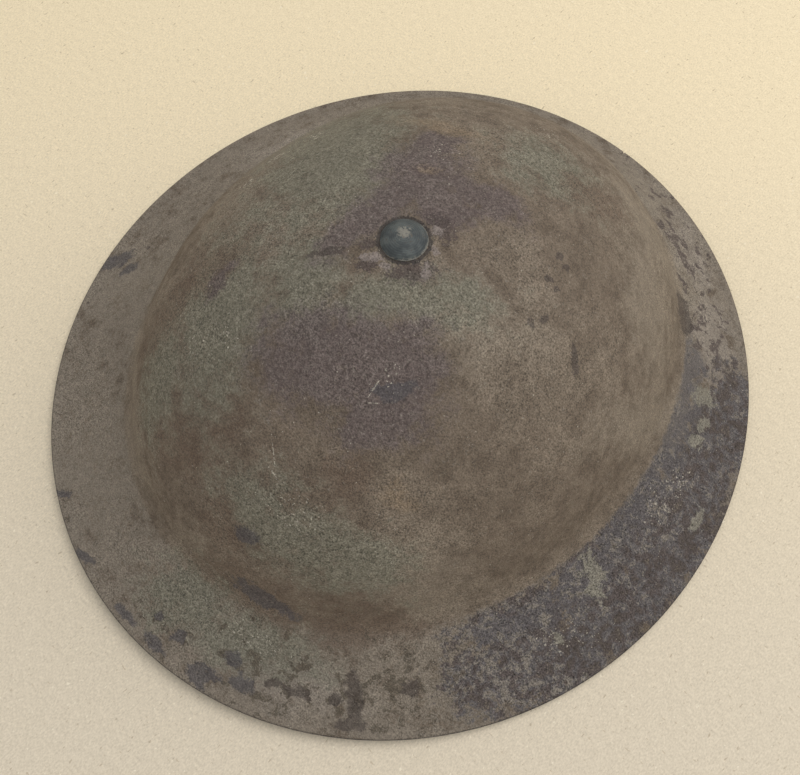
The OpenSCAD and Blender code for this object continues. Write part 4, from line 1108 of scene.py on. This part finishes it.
def makeNetting():
    # Two families of twine wind up the cap in opposite directions and are knotted where they cross
    topAngle, footAngle = math.asin(fit["netHole"] / netWide), math.acos(netFoot / netHigh)
    turn = 2 * math.pi / netting["strands"] * netting["rows"] / 2

    def windAngle(share):
        # Angle from the crown at a share of the way up a strand
        foot, top = footAngle - netting["footTuck"], topAngle + netting["topTuck"]
        return blendPoints(foot, top, share ** netting["spacing"])

    s = np.linspace(0, 1, netting["strandSteps"])
    parts = []
    for k in range(netting["strands"]):
        for way in (1, -1):
            t = 2 * math.pi * k / netting["strands"] + way * turn * s
            slack = netting["slack"] * np.sin(s * netting["rows"] * math.pi * 2 + k)
            strand = netPoint(windAngle(s), t, netHalf + slack)
            parts.append((tubeAlong(strand, netting["twine"] / 2, 7, face=strand), False))
    ball = np.linspace(0, math.pi, 6)
    for row in range(1, netting["rows"]):
        share = row / netting["rows"]
        size = netting["knot"] * (1.0 if share < netting["smallKnotsFrom"] else netting["smallKnot"])
        profile = np.stack([size * 0.5 * np.sin(ball) + 0.01, size * 0.38 * np.cos(ball)], -1)
        for k in range(netting["strands"]):
            t = 2 * math.pi * (k + (row % 2) / 2) / netting["strands"]
            at = netPoint(np.array(windAngle(share)), np.array(t), netHalf)
            parts.append((at + turnProfile(profile, 8), False))
    loop = roundAngles(120)
    hems = ((topAngle + netting["topHem"], "topCord"), (footAngle - netting["footHem"], "footCord"))
    for angle, cord in hems:
        hem = netPoint(angle + 0 * loop, loop, netHalf)
        parts.append((tubeAlong(hem, netting[cord] / 2, 8, closed=True), True))
    addPiece("headNetting", parts, twineMaterial, 60, "twine", "root", "net_cap")


# Bails

def makeBail(name, side, body):
    reach, bend = fit["bailReach"], fit["wire"] * 0.9
    y = fit["strapWidth"] / 2 + fit["wire"] + fit["slip"]
    corners = [(side * (pivotX + dx), dy, pivotZ) for dx, dy in ((0, -y), (0, y), (-reach, y), (-reach, -y))]
    grid = tubeAlong(roundedLoop(corners, bend), fit["wire"] / 2, 20, closed=True)
    addPiece(name, [(grid, True)], wireMaterial, 40, "wire_steel", body, body)


# Chinstrap

barX = pivotX - fit["bailReach"]
barShift = fit["bailReach"] * (1 - math.cos(math.asin(fit["strapDrop"] / fit["bailReach"])))
foldRadius = fit["wire"] / 2 + 1.5 * fit["slip"]
strapX = barX - fit["foldLength"] - fit["slip"]
cheekX = strapX - 1.5 * fit["templeRadius"]
loopDepth = fit["templeRadius"] + fit["cheekLength"] + fit["jawRadius"]
tilt = math.asin((pivotZ - fit["strapWidth"] / 2 - fit["restGap"]) / loopDepth)
run1 = fit["templeRadius"] / 2
run2 = run1 + fit["templeRadius"] * math.pi / 2
run3 = run2 + fit["cheekLength"]
run4 = run3 + fit["jawRadius"] * math.pi / 2
halfRun = run4 + cheekX - fit["jawRadius"]
planeOut = np.array([0, math.cos(tilt), -math.sin(tilt)])
planeUp = np.array([0, math.sin(tilt), math.cos(tilt)])
layer = (fit["strapThick"] + fit["touch"]) / 2


def inPlane(x, out):
    return np.array([x, 0, pivotZ]) + out * planeOut


def halfPath(r):
    # x, distance from the axis and heading of the left half of the loop
    temple, cheek, jaw = fit["templeRadius"], fit["cheekLength"], fit["jawRadius"]
    if r < run1:
        return strapX - r, 0.0, 0.0
    if r < run2:
        a = (r - run1) / temple
        return strapX - run1 - temple * math.sin(a), temple * (1 - math.cos(a)), a
    if r < run3:
        return cheekX, temple + r - run2, math.pi / 2
    if r < run4:
        a = (r - run3) / jaw
        return cheekX - jaw * (1 - math.cos(a)), temple + cheek + jaw * math.sin(a), math.pi / 2 - a
    return cheekX - jaw - (r - run4), loopDepth, 0.0


def loopStation(r, off, width):
    # Middle, way across and way through the leather at run r of the loop
    side, near = (1, r) if r < halfRun else (-1, 2 * halfRun - r)
    x, out, heading = halfPath(near)
    twist = -math.pi / 2 * (1 - easeInOut(min(1, near / fit["twistLength"])))
    flat = np.array([side * math.sin(heading), 0, 0]) + math.cos(heading) * planeOut
    face = flat * math.cos(twist) + planeUp * math.sin(twist)
    across = planeUp * math.cos(twist) - flat * math.sin(twist)
    return inPlane(side * x, out) + off * face, across, face, width


def foldPath():
    # Middle of the leather round the bail's bar, from the lower leaf to the upper: [x from the bar, z].
    # The leaves lie on each other as far as the opening, and then run apart round the bar.
    leaf, length = fit["strapThick"] / 2, fit["foldLength"]
    r, opening = foldRadius + leaf, 0.55 * length
    u = np.linspace(0, 1, 9)
    lower = [(blendPoints(-length, -opening, share), -leaf - 0.02) for share in u[:-1]]
    lower += [(opening * (share - 1), -blendPoints(leaf, r, easeInOut(share))) for share in u]
    bend = [(barShift + r * math.sin(a), -r * math.cos(a)) for a in np.linspace(0, math.pi, 15)]
    return np.array(lower + bend + [(x, -z) for x, z in lower[::-1]])


def foldStations(side):
    path = foldPath()
    made = []
    for (x, z), (dx, dz) in zip(path, unit(np.gradient(path, axis=0))):
        # The leaves turn into the loop's plane towards the loop
        lean = tilt * (1 - easeInOut(min(1, max(0, 2 * (x + fit["foldLength"]) / fit["foldLength"]))))
        up = np.array([0, math.sin(lean), math.cos(lean)])
        back = np.array([0, math.cos(lean), -math.sin(lean)])
        middle = np.array([side * (barX + x), 0, pivotZ]) + z * up
        made.append((middle, back, np.array([-side * dz, 0, 0]) + dx * up, fit["strapWidth"]))
    return made


def ribbon(stationList, thick):
    # Leather strap through the stations: each a middle, across, through and width
    rows = []
    for middle, across, through, width in stationList:
        section = ribbonSection(width, thick, min(0.55, width / 4))
        rows.append(middle + section[:, :1] * across + section[:, 1:] * through)
    return np.array(rows)


def addLeather(name, stationList, side, *nodes):
    # The leather strap, bound to no body, with its transform baked into its points
    grid = ribbon(stationList, fit["strapThick"])
    piece = addPiece(name, [(grid, False)], leatherMaterial, 60, "strap_leather", None, *nodes)
    side * strapX * mm
    pivotZ * mm
    pivotZ * mm
    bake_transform(piece)


# Stations where the leather turns from flat to upright, along the rest of the loop, up to the right fold and
# along the tail; the run from the right fold to the seam of both meshes; the rounding of the tail's tip
strapSteps = {"turn": 30, "loop": 200, "end": 20, "tail": 64}
endRun = run2 + 30
tipAngles = np.radians([86, 80, 70, 58, 45, 30, 15])


def makeStrap():
    wide, turned = fit["strapWidth"], fit["twistLength"]
    tipRun = fit["tailLength"] - wide / 2
    tail = [loopStation(tipRun + wide / 2 * math.sin(a), layer, wide * math.cos(a)) for a in tipAngles]
    tail += [loopStation(r, layer, wide) for r in np.linspace(tipRun, 0, strapSteps["tail"])]
    # Seen from inside the fold, the way through the tail's leather points back
    tail = [(m, a, -f, w) for m, a, f, w in tail]
    runs = np.concatenate([np.linspace(0, turned, strapSteps["turn"]),
                           np.linspace(turned + 2, 2 * halfRun - endRun, strapSteps["loop"])])
    loop = [loopStation(r, -layer, wide) for r in runs]
    addLeather("chinStrap", tail + foldStations(1) + loop, 1, "chinstrap", "strap_tail", "strap_end_left")
    runs = 2 * halfRun - np.concatenate([np.linspace(endRun, turned, strapSteps["end"]),
                                         np.linspace(turned - 1, 0, strapSteps["turn"])])
    loop = [loopStation(r, -layer, wide) for r in runs]
    addLeather("chinStrapRight", loop + foldStations(-1)[::-1], -1, "strap_end_right")


def cheekPlaces(points, at):
    # From the cheek's frame, +X out of the loop and +Y down the strap, to the helmet's
    return inPlane(cheekX, at) + np.asarray(points) @ np.array([[1, 0, 0], planeOut, planeUp])


def makeBuckle():
    r = fit["buckleWire"] / 2
    side, end = fit["strapWidth"] / 2 + fit["slip"] + r, fit["buckleLength"] / 2 - r
    face = fit["strapThick"] + fit["touch"] / 2 + fit["slip"] + r
    corners = [(face, -end, -side), (face, end, -side), (face, end, side), (face, -end, side)]
    loop = cheekPlaces(roundedLoop(corners, fit["frameBend"]), fit["buckleAt"])
    parts = [(tubeAlong(loop, r, 14, closed=True), True)]
    # The bar bends back from the frame's long sides and crosses behind the leather. It is a loop that is open
    # at the face, where both its legs end inside the frame's wire.
    corners = [(face, 0, -side), (-face, 0, -side), (-face, 0, side), (face, 0, side)]
    bar = roundedLoop(corners, fit["barBend"])
    bar = bar[bar[:, 0] < face - 1.4]
    bar = np.roll(bar, -np.argmax(np.linalg.norm(bar - np.roll(bar, 1, 0), axis=-1)), 0)
    foot = face - fit["barSink"]
    legs = np.concatenate([[[foot, 0, bar[0, 2]]], bar, [[foot, 0, bar[-1, 2]]]])
    parts.append((tubeAlong(cheekPlaces(legs, fit["buckleAt"]), r * 0.98, 14), False))
    addPiece("chinBuckle", parts, wireMaterial, 50, "wire_steel", "chin_buckle", "chin_buckle")


def makeKeeper():
    wall = fit["keeperThick"]
    x = fit["strapThick"] + fit["touch"] / 2 + fit["slip"] + wall / 2
    z = fit["strapWidth"] / 2 + fit["slip"] + wall / 2
    path = roundedLoop([(x, 0, -z), (x, 0, z), (-x, 0, z), (-x, 0, -z)], fit["keeperBend"], 6)
    through = np.cross(unit(np.roll(path, -1, 0) - np.roll(path, 1, 0)), [0, 1, 0])
    section = ribbonSection(fit["keeperLength"], wall, 0.4, 5)
    across, deep = section[None, :, :1], section[None, :, 1:]
    grid = cheekPlaces(path[:, None] + across * [0, 1, 0] + deep * through[:, None], fit["keeperAt"])
    addPiece("strapKeeper", [(grid, True)], keeperMaterial, 60, "strap_leather", "strap_keeper",
             "strap_keeper")


# Pieces that keep their CAD form

def makeShadingGroup():
    # Modifier: joins doubled points and shades smooth, but not over sharp edges
    tree = bpy.data.node_groups.new("smoothByAngle", "GeometryNodeTree")
    tree.interface.new_socket("Geometry", in_out="INPUT", socket_type="NodeSocketGeometry")
    tree.interface.new_socket("Geometry", in_out="OUTPUT", socket_type="NodeSocketGeometry")
    given, result = tree.nodes.new("NodeGroupInput"), tree.nodes.new("NodeGroupOutput")
    form = signalOf(tree, "GeometryNodeMergeByDistance", {
        "Geometry": Signal(given.outputs[0]), "Distance": cadFinish["join"]})
    bend = signalOf(tree, "GeometryNodeInputMeshEdgeAngle", out="Unsigned Angle")
    gentle = signalOf(tree, "FunctionNodeCompare", {0: bend, 1: math.radians(cadFinish["sharpFrom"])},
                      operation="LESS_THAN", data_type="FLOAT")
    form = signalOf(tree, "GeometryNodeSetShadeSmooth", {0: form}, domain="FACE")
    form = signalOf(tree, "GeometryNodeSetShadeSmooth", {0: form, "Shade Smooth": gentle}, domain="EDGE")
    join(form, result.inputs[0])
    return tree


# Distance in metres at which doubled points join, angles in degrees
cadFinish = {"join": 0.00001, "sharpFrom": 28, "bevelFrom": 40, "bevelSteps": 2}
shadingGroup = makeShadingGroup()


def dressNode(node, material, bevel=0.0):
    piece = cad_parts[node]
    piece.data.materials.clear()
    piece.data.materials.append(material)
    if bevel:
        rounded = piece.modifiers.new("softEdges", "BEVEL")
        rounded.width, rounded.segments, rounded.limit_method = bevel * mm, cadFinish["bevelSteps"], "ANGLE"
        rounded.angle_limit = math.radians(cadFinish["bevelFrom"])
    piece.modifiers.new("shading", "NODES").node_group = shadingGroup


makeShell()
makeEdging()
makeCrownRivet()
makeLugRivet("lugRivetLeft", 1, "lug_rivet_left")
makeLugRivet("lugRivetRight", -1, "lug_rivet_right")
print("pieces: shell")
makeCrownFelt()
makeCrownRing()
makeCradleStrap("cradleStrapLong", "cradle_strap_long", True)
makeCradleStrap("cradleStrapCross", "cradle_strap_cross", False)
makeBands()
makeSweatband()
makeNetting()
print("pieces: liner")
makeBail("bailLeft", 1, "bail_left")
makeBail("bailRight", -1, "bail_right")
makeStrap()
makeBuckle()
makeKeeper()
for node in ("outer_band_rivets", "inner_band_rivets", "cradle_rivets", "crown_washer", "strap_rivet_right"):
    dressNode(node, platedMaterial)
for node in ("lug_left", "lug_right"):
    dressNode(node, lugMaterial, 0.12)
for number in range(1, 13):
    dressNode(f"rubber_tube_{number:02d}", rubberMaterial)
print("pieces: strap and fittings")


# Floor

# Specks of the board: shift of the noise, its stretch, how strong they are, their colour
boardSpecks = [
    ((0, 0, 0), (1.0, 0.35, 1.0), 0.5, (0.33, 0.25, 0.16)),
    ((50, 9, 0), (0.35, 1.0, 1.0), 0.45, (0.40, 0.31, 0.20)),
    ((90, 20, 0), (0.8, 0.5, 1.0), 0.55, (0.95, 0.86, 0.68)),
]


def mixInto(output, share, first, second):
    # The output node shows both shaders, the second by that share
    mixed = signalOf(share.tree, "ShaderNodeMixShader", {0: share, 1: first, 2: second})
    join(mixed, share.tree.nodes[output].inputs["Surface"])


def makeBoardMaterial():
    # Board with painted light: lighter and yellower towards the lamp, darker towards the camera, with fibres
    # and specks
    material, place = startMaterial("paleBoard", Roughness=0.9)
    tree = place.tree
    x, y, _ = axes(place)
    # Painted light: the board goes from its shaded colour near the camera to its lit colour towards the lamp
    colour = mixColour(spread(y * 0.80 - x * 0.60, -170, 210), studio["floorShadedNear"], studio["floorLitFar"])
    fine = noise(vectorMaths("MULTIPLY", place, (1.0, 0.6, 1.0)), 1.5, 2.0, 0.6)
    both = noise(place, 0.30, 5.0, 0.80) * 0.35 + fine * 0.65
    colour = shaded(colour, spread(both, 0.30, 0.70, 0.82, 1.20, smooth=False))
    for shift, scale, strength, tone in boardSpecks:
        moved = vectorMaths("MULTIPLY", vectorMaths("ADD", place, shift), scale)
        colour = mixColour(spread(noise(moved, 0.85, 2.0, 0.5), 0.685, 0.73, 0, strength), colour, tone)
    endMaterial(material, both, 0.2, Base_Color=colour)
    # Far off, the camera sees the floor run into the backdrop
    away = spread(vectorMaths("LENGTH", place), studio["sweepNear"], studio["sweepFar"])
    sweep = signalOf(tree, "ShaderNodeEmission", {"Color": (*studio["backdrop"], 1), "Strength": 1.0})
    seen = signalOf(tree, "ShaderNodeLightPath", out="Is Camera Ray")
    mixInto("Material Output", away * seen, Signal(tree.nodes["Principled BSDF"].outputs[0]), sweep)
    return material


def makeFloor():
    half = studio["floorSize"] / 2
    corners = [(-half, -half, 0), (half, -half, 0), (half, half, 0), (-half, half, 0)]
    mesh = bpy.data.meshes.new("floor")
    mesh.from_pydata(corners, [], [(0, 1, 2, 3)])
    mesh.materials.append(makeBoardMaterial())
    floor = bpy.data.objects.new("floor", mesh)
    floor.location.z = -studio["floorDrop"]
    scene.collection.objects.link(floor)


def makeSky():
    world = bpy.data.worlds.new("studioSky")
    world.use_nodes = True
    scene.world = world
    tree = world.node_tree
    background = tree.nodes["Background"]
    background.inputs["Color"].default_value = (*studio["skyColour"], 1)
    background.inputs["Strength"].default_value = studio["skyStrength"]
    backdrop = signalOf(tree, "ShaderNodeBackground", {"Color": (*studio["backdrop"], 1), "Strength": 1.0})
    rays = addNode(tree, "ShaderNodeLightPath").outputs
    seen, mirrored, through = (Signal(rays[f"Is {ray} Ray"]) for ray in ("Camera", "Glossy", "Transmission"))
    direct = maths("MAXIMUM", seen, maths("MAXIMUM", mirrored, through))
    mixInto("World Output", direct, Signal(background.outputs[0]), backdrop)


makeFloor()
makeSky()
scene.view_settings.view_transform = "Standard"
